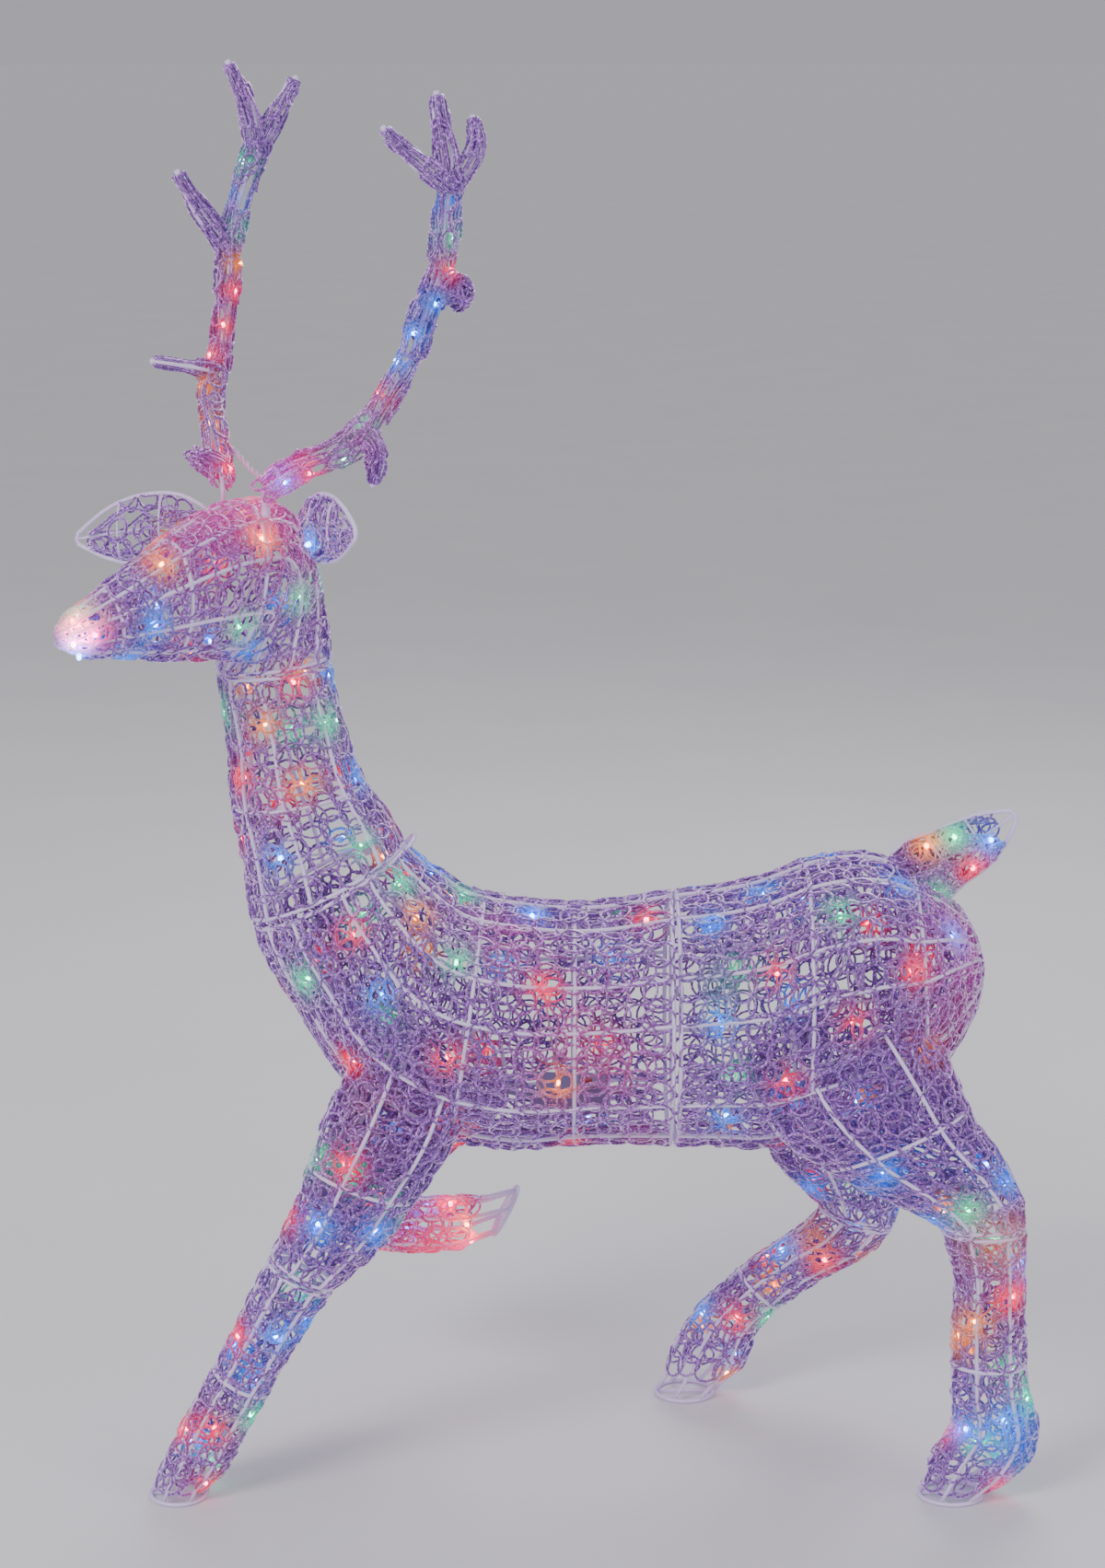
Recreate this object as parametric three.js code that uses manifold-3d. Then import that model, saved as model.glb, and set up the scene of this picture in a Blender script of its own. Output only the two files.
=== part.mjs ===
// Light up yard reindeer: a welded wire figure in nine take-apart sections, each
// section wrapped in a net of clear acrylic strand and carrying its own string of LEDs.
// Millimetres, +Z up, the animal faces -X, its left side is -Y, the origin is on the
// ground under the middle of the figure's box.
import * as THREE from "three";
import { ParametricGeometry } from "three/addons/geometries/ParametricGeometry.js";
import { mergeVertices } from "three/addons/utils/BufferGeometryUtils.js";
import Module from "manifold-3d";

const wasm = await Module();
wasm.setup();
const { Manifold } = wasm;

// ---------------------------------------------------------------- driving dimensions
const NET_THICKNESS = 1.5; // strand net skin
const WIRE_R = 2.0; // frame wire, 4 mm
const WIRE_DEPTH = 6.0; // wire centre below the outside of the net
const CABLE_R = 1.1; // light string cable
const CABLE_DEPTH = 12.5; // cable centre below the outside of the net
const BULB_R = 3.0; // moulded LED holder
const BULB_HALF = 6.0;
const WELD_TOLERANCE = 0.25; // detail dropped where frame wires cross
const SEAM_GAP = 1.0; // net edge to seam plane
const RING_GAP = 3.5; // seam ring centre to seam plane
const ANTLER_R = 13.0; // wrapped antler tube
const SPIGOT_R = 2.6; // antler plug rod
const HEAD_X = -268; // neck axis that the head turns about
const HEAD_YAW = 46;
const BOX_SHIFT = [-2.2937, -1.1258, 0]; // puts the origin under the middle of the figure's box

// Loft stations: x, y, z of the section's centre, the angle in degrees of its upper
// axis above +X, half width across, half height along that axis, and its yaw.
const BODY_FRONT = [
  [-218, 0, 589, 27, 86, 86],
  [-206, 0, 564, 36, 96, 92],
  [-186, 0, 536, 48, 110, 98],
  [-157, 0, 497, 64, 124, 114],
  [-109, 0, 463, 77, 132, 122],
  [-45, 0, 447, 87, 134, 125],
  [40, 0, 447, 90, 134, 120],
  [118, 0, 452, 90, 134, 127],
];
const BODY_REAR = [
  [118, 0, 452, 90, 134, 127],
  [160, 0, 454, 90, 134, 130],
  [205, 0, 458, 90, 135, 136],
  [255, 0, 473, 90, 134, 140],
  [313, 0, 487, 90, 124, 130],
  [357, 0, 492, 93, 105, 109],
  [393, 0, 508, 98, 78, 72],
  [412, 0, 512, 99, 44, 42],
  [420, 0, 513, 99, 19, 18],
];
const LEFT_SHOULDER = [
  [-130, -68, 429, -12, 38, 62],
  [-156, -101, 371, -15, 42, 64],
  [-181, -111, 324, -20, 37, 57],
  [-207, -116, 277, -26, 34, 48],
  [-242, -120, 231, -29.3, 31.5, 37],
];
const RIGHT_SHOULDER = [
  [-118, 68, 423, -15, 38, 72],
  [-128, 102, 355, -20, 40, 84],
  [-160, 112, 300, -25, 37, 66],
  [-205, 117, 253, -25, 33, 43],
];
const LEFT_THIGH = [
  [262, -66, 457, 30, 40, 92],
  [297, -98, 404, 28.6, 45, 92],
  [338, -109, 356, 23.5, 41, 74],
  [381, -115, 320, 17.4, 37, 60],
  [407, -118, 292, 7, 36, 48],
  [413, -120, 279, 0, 35, 43],
];
const RIGHT_THIGH = [
  [258, 66, 453, 26, 40, 92],
  [288, 100, 364, 20, 44, 90],
  [301, 110, 277, 16, 39, 73],
  [312, 117, 233, 8, 36, 52],
  [317, 120, 198, -17, 34, 42],
];
const NECK = [
  [-218, 0, 589, 27, 86, 86],
  [-228, 0, 629, 16, 78, 78],
  [-248.5, 0, 690, 9, 67, 66],
  [-256, 0, 738, 8.5, 60, 59],
  [-265, 0, 785, 6, 57, 57],
  [-267, 0, 804, 5, 56, 57],
];
// Head stations turn about the neck axis: x here is the distance ahead (-) or behind (+).
const HEAD_LOCAL = [
  [1, 804, 5, 56, 57, 0],
  [-2, 841, 27, 57, 60, 16],
  [-11, 870, 47, 59, 73, 32],
  [-28, 890, 64, 59, 80, 43],
  [-58, 893, 80, 56, 77, HEAD_YAW],
  [-105, 888, 86, 48, 66, HEAD_YAW],
  [-158, 878, 90, 37, 49, HEAD_YAW],
  [-204, 870, 96, 28, 32.5, HEAD_YAW],
  [-238, 865, 98, 21, 21, HEAD_YAW],
  [-252, 863, 98, 11, 11, HEAD_YAW],
];
const TAIL = [
  [362, 0, 601, 124, 9, 25],
  [384, 0, 613, 124, 15, 33],
  [407, 0, 627, 125, 15, 30],
  [431, 0, 644, 126, 11, 20],
  [448, 0, 657, 126, 5, 7],
];
const RIGHT_EAR = [
  [-329, 38, 934, 90, 9, 16, 160],
  [-355, 47, 932, 90, 14, 31, 160],
  [-392, 60, 927, 90, 14, 36, 160],
  [-432, 74, 920, 90, 10, 27, 160],
  [-465, 86, 913, 90, 4, 7, 160],
];
const LEFT_EAR = [
  [-235, -60, 945, 90, 9, 15, -61],
  [-223, -82, 949, 90, 14, 29, -61],
  [-206, -112, 953, 90, 15, 34, -61],
  [-189, -144, 956, 90, 11, 24, -61],
  [-176, -168, 957, 90, 4, 7, -61],
];
const LEFT_FORELEG = [
  [-242, -120, 231, -29.3, 31.5, 37],
  [-262, -120, 196, -29, 30, 34],
  [-292, -120, 141, -29, 28.5, 32],
  [-323, -120, 83, -28, 28.5, 32],
  [-349, -120, 34, -20, 29, 31],
  [-364, -120, 9, 0, 28, 28],
];
const RIGHT_FORELEG = [
  [-205, 117, 253, -25, 33, 43],
  [-216, 118, 222, 8, 32, 39],
  [-204, 118, 201, 48, 31, 34],
  [-172, 118, 191, 80, 30, 31],
  [-125, 118, 189, 88, 29, 31],
  [-86, 118, 192, 76, 28, 31],
  [-66, 118, 198, 66, 27, 29],
];
const LEFT_HINDLEG = [
  [413, -120, 279, 0, 35, 43],
  [420, -120, 237, 2, 32, 37],
  [422, -120, 171, 0, 30, 38],
  [425, -120, 114, -2, 29, 40],
  [430, -120, 67, -8, 29, 45],
  [413, -120, 34, -12, 29, 46],
  [395, -120, 8, -2, 28, 36],
];
const RIGHT_HINDLEG = [
  [317, 120, 198, -17, 34, 42],
  [298, 120, 175, -22, 32.5, 40],
  [252, 120, 146, -43, 31, 32],
  [212, 120, 114, -43, 30, 32],
  [183, 120, 81, -30, 29, 35],
  [165, 120, 45, -16, 29, 41],
  [146, 120, 9, 0, 28, 33],
];
// Hoof rings: centre, half width across, half length, tilt.
const LEFT_FORE_HOOF = [-366, -120, 2, 0, 27, 27];
const LEFT_HIND_HOOF = [390, -120, 2, 0, 27, 31];
const RIGHT_HIND_HOOF = [139, 120, 2, 0, 27, 30];
const RIGHT_FORE_HOOF = [-49, 118, 204, 62, 26, 28];

// Antler centre lines, beam first, then tines that start on the beam.
const LEFT_ANTLER = {
  base: [-268, -43, 963],
  beam: [[-268, -43, 979], [-236, -39, 999], [-190, -33, 1020], [-160, -29, 1054], [-134, -25, 1096], [-119, -23, 1139], [-103, -21, 1181], [-98, -20, 1224], [-94, -19, 1263]],
  beamR: [12, 14, 14.5, 13, 12, 13.5, 13.5, 13, 14],
  tines: [
    [[-95, -20, 1256], [-130, -37, 1286], [-152, -51, 1308]],
    [[-94, -19, 1260], [-101, -18, 1304], [-106, -18, 1338]],
    [[-95, -20, 1251], [-71, -3, 1289], [-74, 6, 1316]],
    [[-113, -22, 1155], [-93, -9, 1159], [-80, -3, 1149]],
    [[-178, -31, 1033], [-163, -44, 1012], [-167, -48, 986]],
  ],
};
const RIGHT_ANTLER = {
  base: [-312, -4, 957],
  beam: [[-312, -3, 979], [-322, 46, 1010], [-331, 94, 1049], [-324, 123, 1091], [-319, 144, 1143], [-316, 161, 1187], [-306, 168, 1236], [-286, 171, 1291]],
  beamR: [11, 13, 12.5, 12.5, 12, 12, 12.5, 14],
  tines: [
    [[-288, 171, 1282], [-299, 164, 1331], [-313, 156, 1365]],
    [[-287, 171, 1286], [-266, 181, 1323], [-252, 187, 1350]],
    [[-316, 161, 1186], [-343, 142, 1229], [-361, 126, 1262]],
    [[-327, 110, 1072], [-352, 100, 1079], [-384, 82, 1086]],
    [[-316, 14, 990], [-332, 14, 1001], [-342, 16, 1001]],
  ],
};

// ---------------------------------------------------------------- colours
const paint = (color, roughness, metalness = 0) => () =>
  new THREE.MeshStandardMaterial({ color, roughness, metalness });
const WIRE = paint(0xcfc6e6, 0.4, 0.2);
const NET = paint(0xb49fd0, 0.18);
const LIGHTS = paint(0xd9b9dc, 0.3);
const CLIP = paint(0xe6e2f0, 0.35);
const CASE = paint(0xdcd8e8, 0.45);
const LEAD = paint(0xe4e0ee, 0.5);

// ---------------------------------------------------------------- solids
const V = (x, y, z) => new THREE.Vector3(x, y, z);
const rad = THREE.MathUtils.degToRad;

// A closed three.js geometry as a solid.
function solid(geometry, matrix) {
  const g = new THREE.BufferGeometry();
  const src = geometry.index ? geometry.toNonIndexed() : geometry;
  g.setAttribute("position", src.getAttribute("position").clone());
  if (matrix) g.applyMatrix4(matrix);
  const m = mergeVertices(g, 1e-3);
  const idx = m.index.array;
  const keep = [];
  for (let i = 0; i < idx.length; i += 3) {
    const [a, b, c] = [idx[i], idx[i + 1], idx[i + 2]];
    if (a !== b && b !== c && a !== c) keep.push(a, b, c);
  }
  const make = (tris) =>
    new Manifold(
      new wasm.Mesh({
        numProp: 3,
        vertProperties: new Float32Array(m.attributes.position.array),
        triVerts: new Uint32Array(tris),
      }),
    );
  let s = make(keep);
  if (s.volume() < 0) {
    for (let i = 0; i < keep.length; i += 3)
      [keep[i + 1], keep[i + 2]] = [keep[i + 2], keep[i + 1]];
    s = make(keep);
  }
  return s;
}

function geometryOf(s) {
  const mesh = s.getMesh();
  const n = mesh.numProp;
  const p = new Float32Array(mesh.numVert * 3);
  for (let i = 0; i < mesh.numVert; i++)
    p.set(mesh.vertProperties.subarray(i * n, i * n + 3), i * 3);
  const g = new THREE.BufferGeometry()
    .setAttribute("position", new THREE.BufferAttribute(p, 3))
    .setIndex(new THREE.BufferAttribute(new Uint32Array(mesh.triVerts), 1));
  g.computeVertexNormals();
  return g;
}

const join = (parts) => Manifold.union(parts);
// Welded wires, with the slivers where they cross cleaned away.
const weld = (parts) => Manifold.union(parts).simplify(WELD_TOLERANCE);

// A surface through a grid of rows, closed round each row; closedRows joins last to first.
function surface(rows, closedRows) {
  const R = rows.length;
  const N = rows[0].length;
  const U = closedRows ? R : R - 1;
  return new ParametricGeometry(
    (u, v, t) => {
      const i = Math.min(U, Math.max(0, Math.round(v * U)));
      const j = Math.min(N, Math.max(0, Math.round(u * N)));
      t.copy(rows[i % R][j % N]);
    },
    N,
    U,
  );
}

// ---------------------------------------------------------------- stations
function axes(st) {
  const th = rad(st[3]);
  const ya = rad(st[6] ?? 0);
  const L = V(-Math.sin(ya), Math.cos(ya), 0);
  const D = V(Math.cos(th) * Math.cos(ya), Math.cos(th) * Math.sin(ya), Math.sin(th));
  return { c: V(st[0], st[1], st[2]), L, D, T: L.clone().cross(D) };
}
function onStation(st, phi, inset) {
  const { c, L, D } = axes(st);
  return c
    .addScaledVector(L, (st[4] - inset) * Math.cos(phi))
    .addScaledVector(D, (st[5] - inset) * Math.sin(phi));
}
function shifted(st, d) {
  const { c, T } = axes(st);
  c.addScaledVector(T, d);
  return [c.x, c.y, c.z, ...st.slice(3)];
}
const ringPoints = (st, n, inset) =>
  Array.from({ length: n }, (_, i) => onStation(st, (2 * Math.PI * (i + 0.5)) / n, inset));
// Stations between two stations.
function mix(a, b, t) {
  const la = a.length > 6 ? a : [...a, 0];
  const lb = b.length > 6 ? b : [...b, 0];
  return la.map((v, i) => v + (lb[i] - v) * t);
}
function stationAt(sts, s) {
  const k = Math.min(sts.length - 2, Math.floor(s * (sts.length - 1)));
  return mix(sts[k], sts[k + 1], s * (sts.length - 1) - k);
}
// +1 where a section's stations run along their normals, -1 where they run against them.
function sense(sts, i) {
  const a = Math.min(i, sts.length - 2);
  const step = V(...sts[a + 1].slice(0, 3)).sub(V(...sts[a].slice(0, 3)));
  return Math.sign(step.dot(axes(sts[i]).T));
}
// The section with its seam ends moved off the seam planes.
function trimmed(sts, startGap, endGap) {
  const out = sts.map((s) => [...s]);
  const e = out.length - 1;
  if (startGap) out[0] = shifted(out[0], startGap * sense(sts, 0));
  if (endGap) out[e] = shifted(out[e], -endGap * sense(sts, e));
  return out;
}

// ---------------------------------------------------------------- pieces
// A closed volume through the stations, run on past both ends where over > 0.
function volume(sts, n, inset, over0 = 0, over1 = 0) {
  const s = sts.map((a) => [...a]);
  if (over0) s.unshift(shifted(s[0], -over0 * sense(sts, 0)));
  if (over1) s.push(shifted(s[s.length - 1], over1 * sense(sts, sts.length - 1)));
  const rows = s.map((a) => ringPoints(a, n, inset));
  const mid = (r) => r.reduce((q, p) => q.add(p), V(0, 0, 0)).multiplyScalar(1 / r.length);
  const first = mid(rows[0]);
  const last = mid(rows[rows.length - 1]);
  return solid(surface([rows[0].map(() => first), ...rows, rows[0].map(() => last)], false));
}
// An open-ended skin through the stations.
const skin = (sts, n) => volume(sts, n, 0).subtract(volume(sts, n, NET_THICKNESS, 4, 4));
// A closed wire ring through points, square in section.
function ringWire(points, centre, axis, r = WIRE_R, flat = false) {
  const n = points.length;
  const rows = points.map((p) => {
    const out = p.clone().sub(centre);
    out.addScaledVector(axis, -out.dot(axis)).normalize();
    const k = flat ? [[1, 1], [-1, 1], [-1, -1], [1, -1]] : [[-1.25, 0], [0.7, 1.15], [0.7, -1.15]];
    return k.map(([a, b]) => p.clone().addScaledVector(out, a * r).addScaledVector(axis, b * r));
  });
  return solid(surface(rows, true));
}
function stationRing(st, n, inset = WIRE_DEPTH) {
  const { c, T } = axes(st);
  return ringWire(ringPoints(st, n, inset), c, T);
}
// A run through given points whose own parameter steps from point to point.
class Run extends THREE.Curve {
  constructor(points) {
    super();
    this.points = points;
  }
  getPoint(t, target = V(0, 0, 0)) {
    const s = t * (this.points.length - 1);
    const k = Math.min(this.points.length - 2, Math.max(0, Math.floor(s)));
    return target.copy(this.points[k]).lerp(this.points[k + 1], s - k);
  }
  getPointAt(t, target) {
    return this.getPoint(t, target);
  }
  getTangentAt(t, target = V(0, 0, 0)) {
    const s = t * (this.points.length - 1);
    const k = Math.round(s);
    const a = this.points[Math.max(0, k - 1)];
    const b = this.points[Math.min(this.points.length - 1, k + 1)];
    return target.copy(b).sub(a).normalize();
  }
  getTangent(t, target) {
    return this.getTangentAt(t, target);
  }
}
function wire(points, r = WIRE_R, sides = 3, twist = 0.4) {
  const shape = new THREE.Shape(
    Array.from({ length: sides }, (_, i) => {
      const a = twist + (2 * Math.PI * i) / sides;
      return new THREE.Vector2(1.2 * r * Math.cos(a), 1.2 * r * Math.sin(a));
    }),
  );
  return solid(
    new THREE.ExtrudeGeometry(shape, {
      steps: points.length - 1,
      bevelEnabled: false,
      extrudePath: new Run(points),
    }),
  );
}
// The middle of flat k of a section's n-sided outline.
const onFlat = (st, n, k, inset = WIRE_DEPTH) =>
  onStation(st, (2 * Math.PI * (k + 0.5)) / n, inset).lerp(
    onStation(st, (2 * Math.PI * (k + 1.5)) / n, inset),
    0.5,
  );
// A stringer: a wire along one flat of the section.
const stringer = (sts, n, k, inset = WIRE_DEPTH) => wire(sts.map((s) => onFlat(s, n, k, inset)), WIRE_R * 0.92);
// A hoop just past station i, clear of the bends in the stringers.
function hoop(sts, i, n) {
  if (i === 0 || i === sts.length - 1) return stationRing(sts[i], n);
  return stationRing(mix(sts[i], sts[i + 1], 0.3), n);
}

// A leg stringer that starts on the nearest weld of the body's cage.
function legStringer(leg, k, body) {
  const pts = leg.map((s) => onFlat(s, NL, k));
  const welds = body.slice(1, -1).flatMap((s) => BODY_STRINGERS.map((j) => onFlat(s, NB, j)));
  const near = welds.reduce((a, b) => (b.distanceTo(pts[0]) < a.distanceTo(pts[0]) ? b : a));
  return wire([near, ...pts], WIRE_R * 0.92);
}

// A light string: a cable that swells into an LED holder at each light.
function string(path) {
  const rows = [];
  let up = V(0.3, 0.2, 1).normalize();
  const ringAt = (p, t, r) => {
    up.addScaledVector(t, -up.dot(t)).normalize();
    const side = t.clone().cross(up);
    return [0, 1, 2].map((i) =>
      p
        .clone()
        .addScaledVector(up, r * Math.cos((2 * Math.PI * i) / 3))
        .addScaledVector(side, r * Math.sin((2 * Math.PI * i) / 3)),
    );
  };
  path.forEach((p, i) => {
    const a = path[Math.max(0, i - 1)];
    const b = path[Math.min(path.length - 1, i + 1)];
    const t = b.clone().sub(a).normalize();
    rows.push(ringAt(p.clone().addScaledVector(t, -BULB_HALF), t, CABLE_R));
    rows.push(ringAt(p.clone(), t, BULB_R));
    rows.push(ringAt(p.clone().addScaledVector(t, BULB_HALF), t, CABLE_R));
  });
  const mid = (r) => r.reduce((q, p) => q.add(p), V(0, 0, 0)).multiplyScalar(1 / r.length);
  const ends = [mid(rows[0]), mid(rows[rows.length - 1])];
  return solid(
    surface([[ends[0], ends[0], ends[0]], ...rows, [ends[1], ends[1], ends[1]]], false),
  );
}
// Light places on a helix through a section.
function helix(sts, n, count, turns, s0, s1, phi0 = 0) {
  return Array.from({ length: count }, (_, i) => {
    const k = i / (count - 1);
    const st = stationAt(sts, s0 + (s1 - s0) * k);
    const depth = CABLE_DEPTH + Math.max(st[4], st[5]) * (1 - Math.cos(Math.PI / n));
    return onStation(st, phi0 + 2 * Math.PI * turns * k, depth);
  });
}

const root = new THREE.Group();
root.name = "yard_reindeer";
root.position.set(...BOX_SHIFT);
function add(name, s, material, parent = root) {
  const mesh = new THREE.Mesh(geometryOf(s), material());
  mesh.name = name;
  parent.add(mesh);
  return mesh;
}
const group = (name) => {
  const g = new THREE.Group();
  g.name = name;
  root.add(g);
  return g;
};

// An H-shaped snap clip that straddles the two rings of a seam, between two corners of
// the section's outline.
function seamClip(st, n, k) {
  const a = onStation(st, (2 * Math.PI * (k + 0.5)) / n, WIRE_DEPTH);
  const b = onStation(st, (2 * Math.PI * (k + 1.5)) / n, WIRE_DEPTH);
  const { T } = axes(st);
  const along = b.clone().sub(a).normalize();
  const out = along.clone().cross(T);
  const mid = a.clone().lerp(b, 0.5);
  if (out.dot(mid.clone().sub(V(st[0], st[1], st[2]))) < 0) out.negate();
  const bar = (y0, y1, w) => {
    const s = new THREE.Shape([[-w, y0], [w, y0], [w, y1], [-w, y1]].map(([x, y]) => new THREE.Vector2(x, y)));
    return solid(new THREE.ExtrudeGeometry(s, { depth: 9, bevelEnabled: false }).translate(0, 0, -4.5));
  };
  const body = join([bar(1.75, 2.9, 6.4), bar(-4.1, -2.85, 6.4), bar(-3.4, 2.4, 0.85)]);
  const m = new THREE.Matrix4().makeBasis(T, out, T.clone().cross(out)).setPosition(mid);
  return solid(geometryOf(body), m);
}

const NB = 12; // sides of the body outline
const NL = 8; // sides of a leg outline
const BODY_STRINGERS = [2, 5, 8, 11]; // back, left, belly, right
const LEG_STRINGERS = [1, 3, 5, 7];
const UPPER_LEG_STRINGERS = [1, 3, 5];

// -- front half of the body, with both upper forelegs
{
  const g = group("front_body");
  const body = trimmed(BODY_FRONT, SEAM_GAP, SEAM_GAP);
  const left = trimmed(LEFT_SHOULDER, 0, SEAM_GAP);
  const right = trimmed(RIGHT_SHOULDER, 0, SEAM_GAP);
  const outer = join([volume(body, NB, 0), volume(left, NL, 0), volume(right, NL, 0)]);
  const inner = join([
    volume(body, NB, NET_THICKNESS, 4, 4),
    volume(left, NL, NET_THICKNESS, 0, 4),
    volume(right, NL, NET_THICKNESS, 0, 4),
  ]);
  add("front_body_net", outer.subtract(inner), NET, g);
  const wb = trimmed(BODY_FRONT, RING_GAP, RING_GAP);
  const wl = trimmed(LEFT_SHOULDER, 0, RING_GAP);
  const wr = trimmed(RIGHT_SHOULDER, 0, RING_GAP);
  const parts = [
    ...[0, 4, 7].map((i) => hoop(wb, i, NB)),
    ...BODY_STRINGERS.map((k) => stringer(wb, NB, k)),
  ];
  for (const leg of [wl, wr]) {
    parts.push(...[1, leg.length - 1].map((i) => hoop(leg, i, NL)));
    parts.push(...(leg === wl ? UPPER_LEG_STRINGERS : UPPER_LEG_STRINGERS.map((k) => (6 - k + 8) % 8)).map((k) => legStringer(leg, k, wb)));
  }
  add("front_body_frame", weld(parts), WIRE, g);
  add("front_body_light_string", string(helix(BODY_FRONT, NB, 34, 4.2, 0.12, 0.95, 0.6)), LIGHTS, g);
  add("left_shoulder_light_string", string(helix(LEFT_SHOULDER, NL, 8, 1.4, 0.42, 0.86, 3.6)), LIGHTS, g);
  add("right_shoulder_light_string", string(helix(RIGHT_SHOULDER, NL, 7, 1.2, 0.45, 0.86, -0.6)), LIGHTS, g);
}

// -- rear half of the body, with both thighs
{
  const g = group("rear_body");
  const body = trimmed(BODY_REAR, SEAM_GAP, 0);
  const left = trimmed(LEFT_THIGH, 0, SEAM_GAP);
  const right = trimmed(RIGHT_THIGH, 0, SEAM_GAP);
  const outer = join([volume(body, NB, 0), volume(left, NL, 0), volume(right, NL, 0)]);
  const inner = join([
    volume(body, NB, NET_THICKNESS, 4, 4),
    volume(left, NL, NET_THICKNESS, 0, 4),
    volume(right, NL, NET_THICKNESS, 0, 4),
  ]);
  add("rear_body_net", outer.subtract(inner), NET, g);
  // The cage stops short of the rump's last gathered rows of net.
  const wb = trimmed(BODY_REAR, RING_GAP, 0).slice(0, 8);
  wb[6] = [...wb[6].slice(0, 4), wb[6][4] - 3, wb[6][5] - 3];
  wb[7] = [407, 0, 511, 99, 38, 36];
  const wl = trimmed(LEFT_THIGH, 0, RING_GAP);
  const wr = trimmed(RIGHT_THIGH, 0, RING_GAP);
  const parts = [
    ...[0, 3, 7].map((i) => hoop(wb, i, NB)),
    ...BODY_STRINGERS.map((k) => stringer(wb, NB, k)),
  ];
  for (const leg of [wl, wr]) {
    parts.push(...[2, leg.length - 1].map((i) => hoop(leg, i, NL)));
    parts.push(...(leg === wl ? UPPER_LEG_STRINGERS : UPPER_LEG_STRINGERS.map((k) => (6 - k + 8) % 8)).map((k) => legStringer(leg, k, wb)));
  }
  add("rear_body_frame", weld(parts), WIRE, g);
  add("rear_body_light_string", string(helix(BODY_REAR, NB, 32, 4.2, 0.08, 0.73, 1.2)), LIGHTS, g);
  add("left_thigh_light_string", string(helix(LEFT_THIGH, NL, 8, 1.3, 0.42, 0.82, 3.6)), LIGHTS, g);
  add("right_thigh_light_string", string(helix(RIGHT_THIGH, NL, 8, 1.3, 0.4, 0.86, -0.6)), LIGHTS, g);
}

// -- plain sections: a skin, a cage of rings and stringers, a light string
function section(prefix, sts, opt) {
  const g = group(prefix);
  const n = opt.n ?? NL;
  let net = skin(trimmed(sts, opt.seam0 ? SEAM_GAP : 0, opt.seam1 ? SEAM_GAP : 0), n);
  if (opt.cut) net = net.subtract(opt.cut);
  add(prefix + "_net", net, NET, g);
  const w = trimmed(sts, opt.seam0 ? RING_GAP : 2.5, opt.seam1 ? RING_GAP : 2.5);
  const parts = [
    ...opt.rings.map((i) => hoop(w, i, n)),
    ...opt.stringers.map((k) => stringer(w, n, k, opt.depth)),
    ...(opt.extra ?? []),
  ];
  add(prefix + "_frame", weld(parts), WIRE, g);
  if (opt.lights)
    add(prefix + "_light_string", string(helix(sts, n, ...opt.lights)), LIGHTS, g);
  return g;
}

section("neck", NECK, {
  n: NB,
  seam0: true,
  seam1: true,
  rings: [0, 2, 5],
  stringers: BODY_STRINGERS,
  lights: [20, 3.4, 0.1, 0.9, 0.2],
});

// -- head, turned to the animal's left
const ya = rad(HEAD_YAW);
const HEAD = HEAD_LOCAL.map(([x, z, th, w, h, yaw]) => [
  HEAD_X + x * Math.cos(rad(yaw)),
  x * Math.sin(rad(yaw)),
  z,
  th,
  w,
  h,
  yaw,
]);
const post = (p, r, z0, z1, sides = 8) =>
  solid(
    new THREE.CylinderGeometry(r, r, z1 - z0, sides).rotateX(Math.PI / 2).translate(p[0], p[1], (z0 + z1) / 2),
  );
// A hollow socket for an antler's plug rod.
const SOCKET_R = 4.6;
const SOCKET_TOP = 963;
function socket(p) {
  return post(p, SOCKET_R, SOCKET_TOP - 36, SOCKET_TOP).subtract(post(p, SPIGOT_R + 0.35, SOCKET_TOP - 33, SOCKET_TOP + 1));
}
{
  const cut = join([
    post(LEFT_ANTLER.base, ANTLER_R + 3, SOCKET_TOP - 29, SOCKET_TOP + 46, 6),
    post(RIGHT_ANTLER.base, ANTLER_R + 3, SOCKET_TOP - 29, SOCKET_TOP + 46, 6),
  ]);
  // Cross bars under the crown that carry the sockets.
  const l = LEFT_ANTLER.base;
  const r = RIGHT_ANTLER.base;
  const w = trimmed(HEAD, RING_GAP, 2.5);
  const bar = wire([
    onFlat(w[4], NB, 11),
    V(r[0] + 1, r[1] + 1, SOCKET_TOP - 30),
    V(l[0] - 1, l[1] - 1, SOCKET_TOP - 30),
    onFlat(w[4], NB, 5),
  ]);
  section("head", HEAD, {
    n: NB,
    seam0: true,
    cut,
    rings: [0, 4, 6, 9],
    stringers: BODY_STRINGERS,
    extra: [socket(l), socket(r), bar],
    depth: WIRE_DEPTH + 0.7,
    lights: [18, 3.2, 0.12, 0.86, 0.5],
  });
}

// -- lower legs: each ends in a bare hoof ring below its net
function hoofRing([x, y, z, tilt, w, h], n = NL) {
  const st = [x, y, z, tilt, w, h];
  const { c, T } = axes(st);
  return { st, solid: ringWire(ringPoints(st, n, 0), c, T, WIRE_R, true) };
}
function lowerLeg(prefix, sts, hoof, lights) {
  const { st, solid: ring } = hoofRing(hoof);
  const w = trimmed(sts, RING_GAP, 2.5);
  const legs = LEG_STRINGERS.map((k) =>
    wire([...w.map((s) => onFlat(s, NL, k)), onFlat(st, NL, k, 0.3)], WIRE_R * 0.9),
  );
  // Cross wire across the hoof ring.
  const cross = wire([onFlat(st, NL, 1, 0), onFlat(st, NL, 5, 0)], 1.4);
  const g = group(prefix);
  add(prefix + "_net", skin(trimmed(sts, SEAM_GAP, 2), NL), NET, g);
  add(
    prefix + "_frame",
    weld([hoop(w, 0, NL), ring, cross, ...legs]),
    WIRE,
    g,
  );
  add(prefix + "_light_string", string(helix(sts, NL, ...lights)), LIGHTS, g);
}
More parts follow.
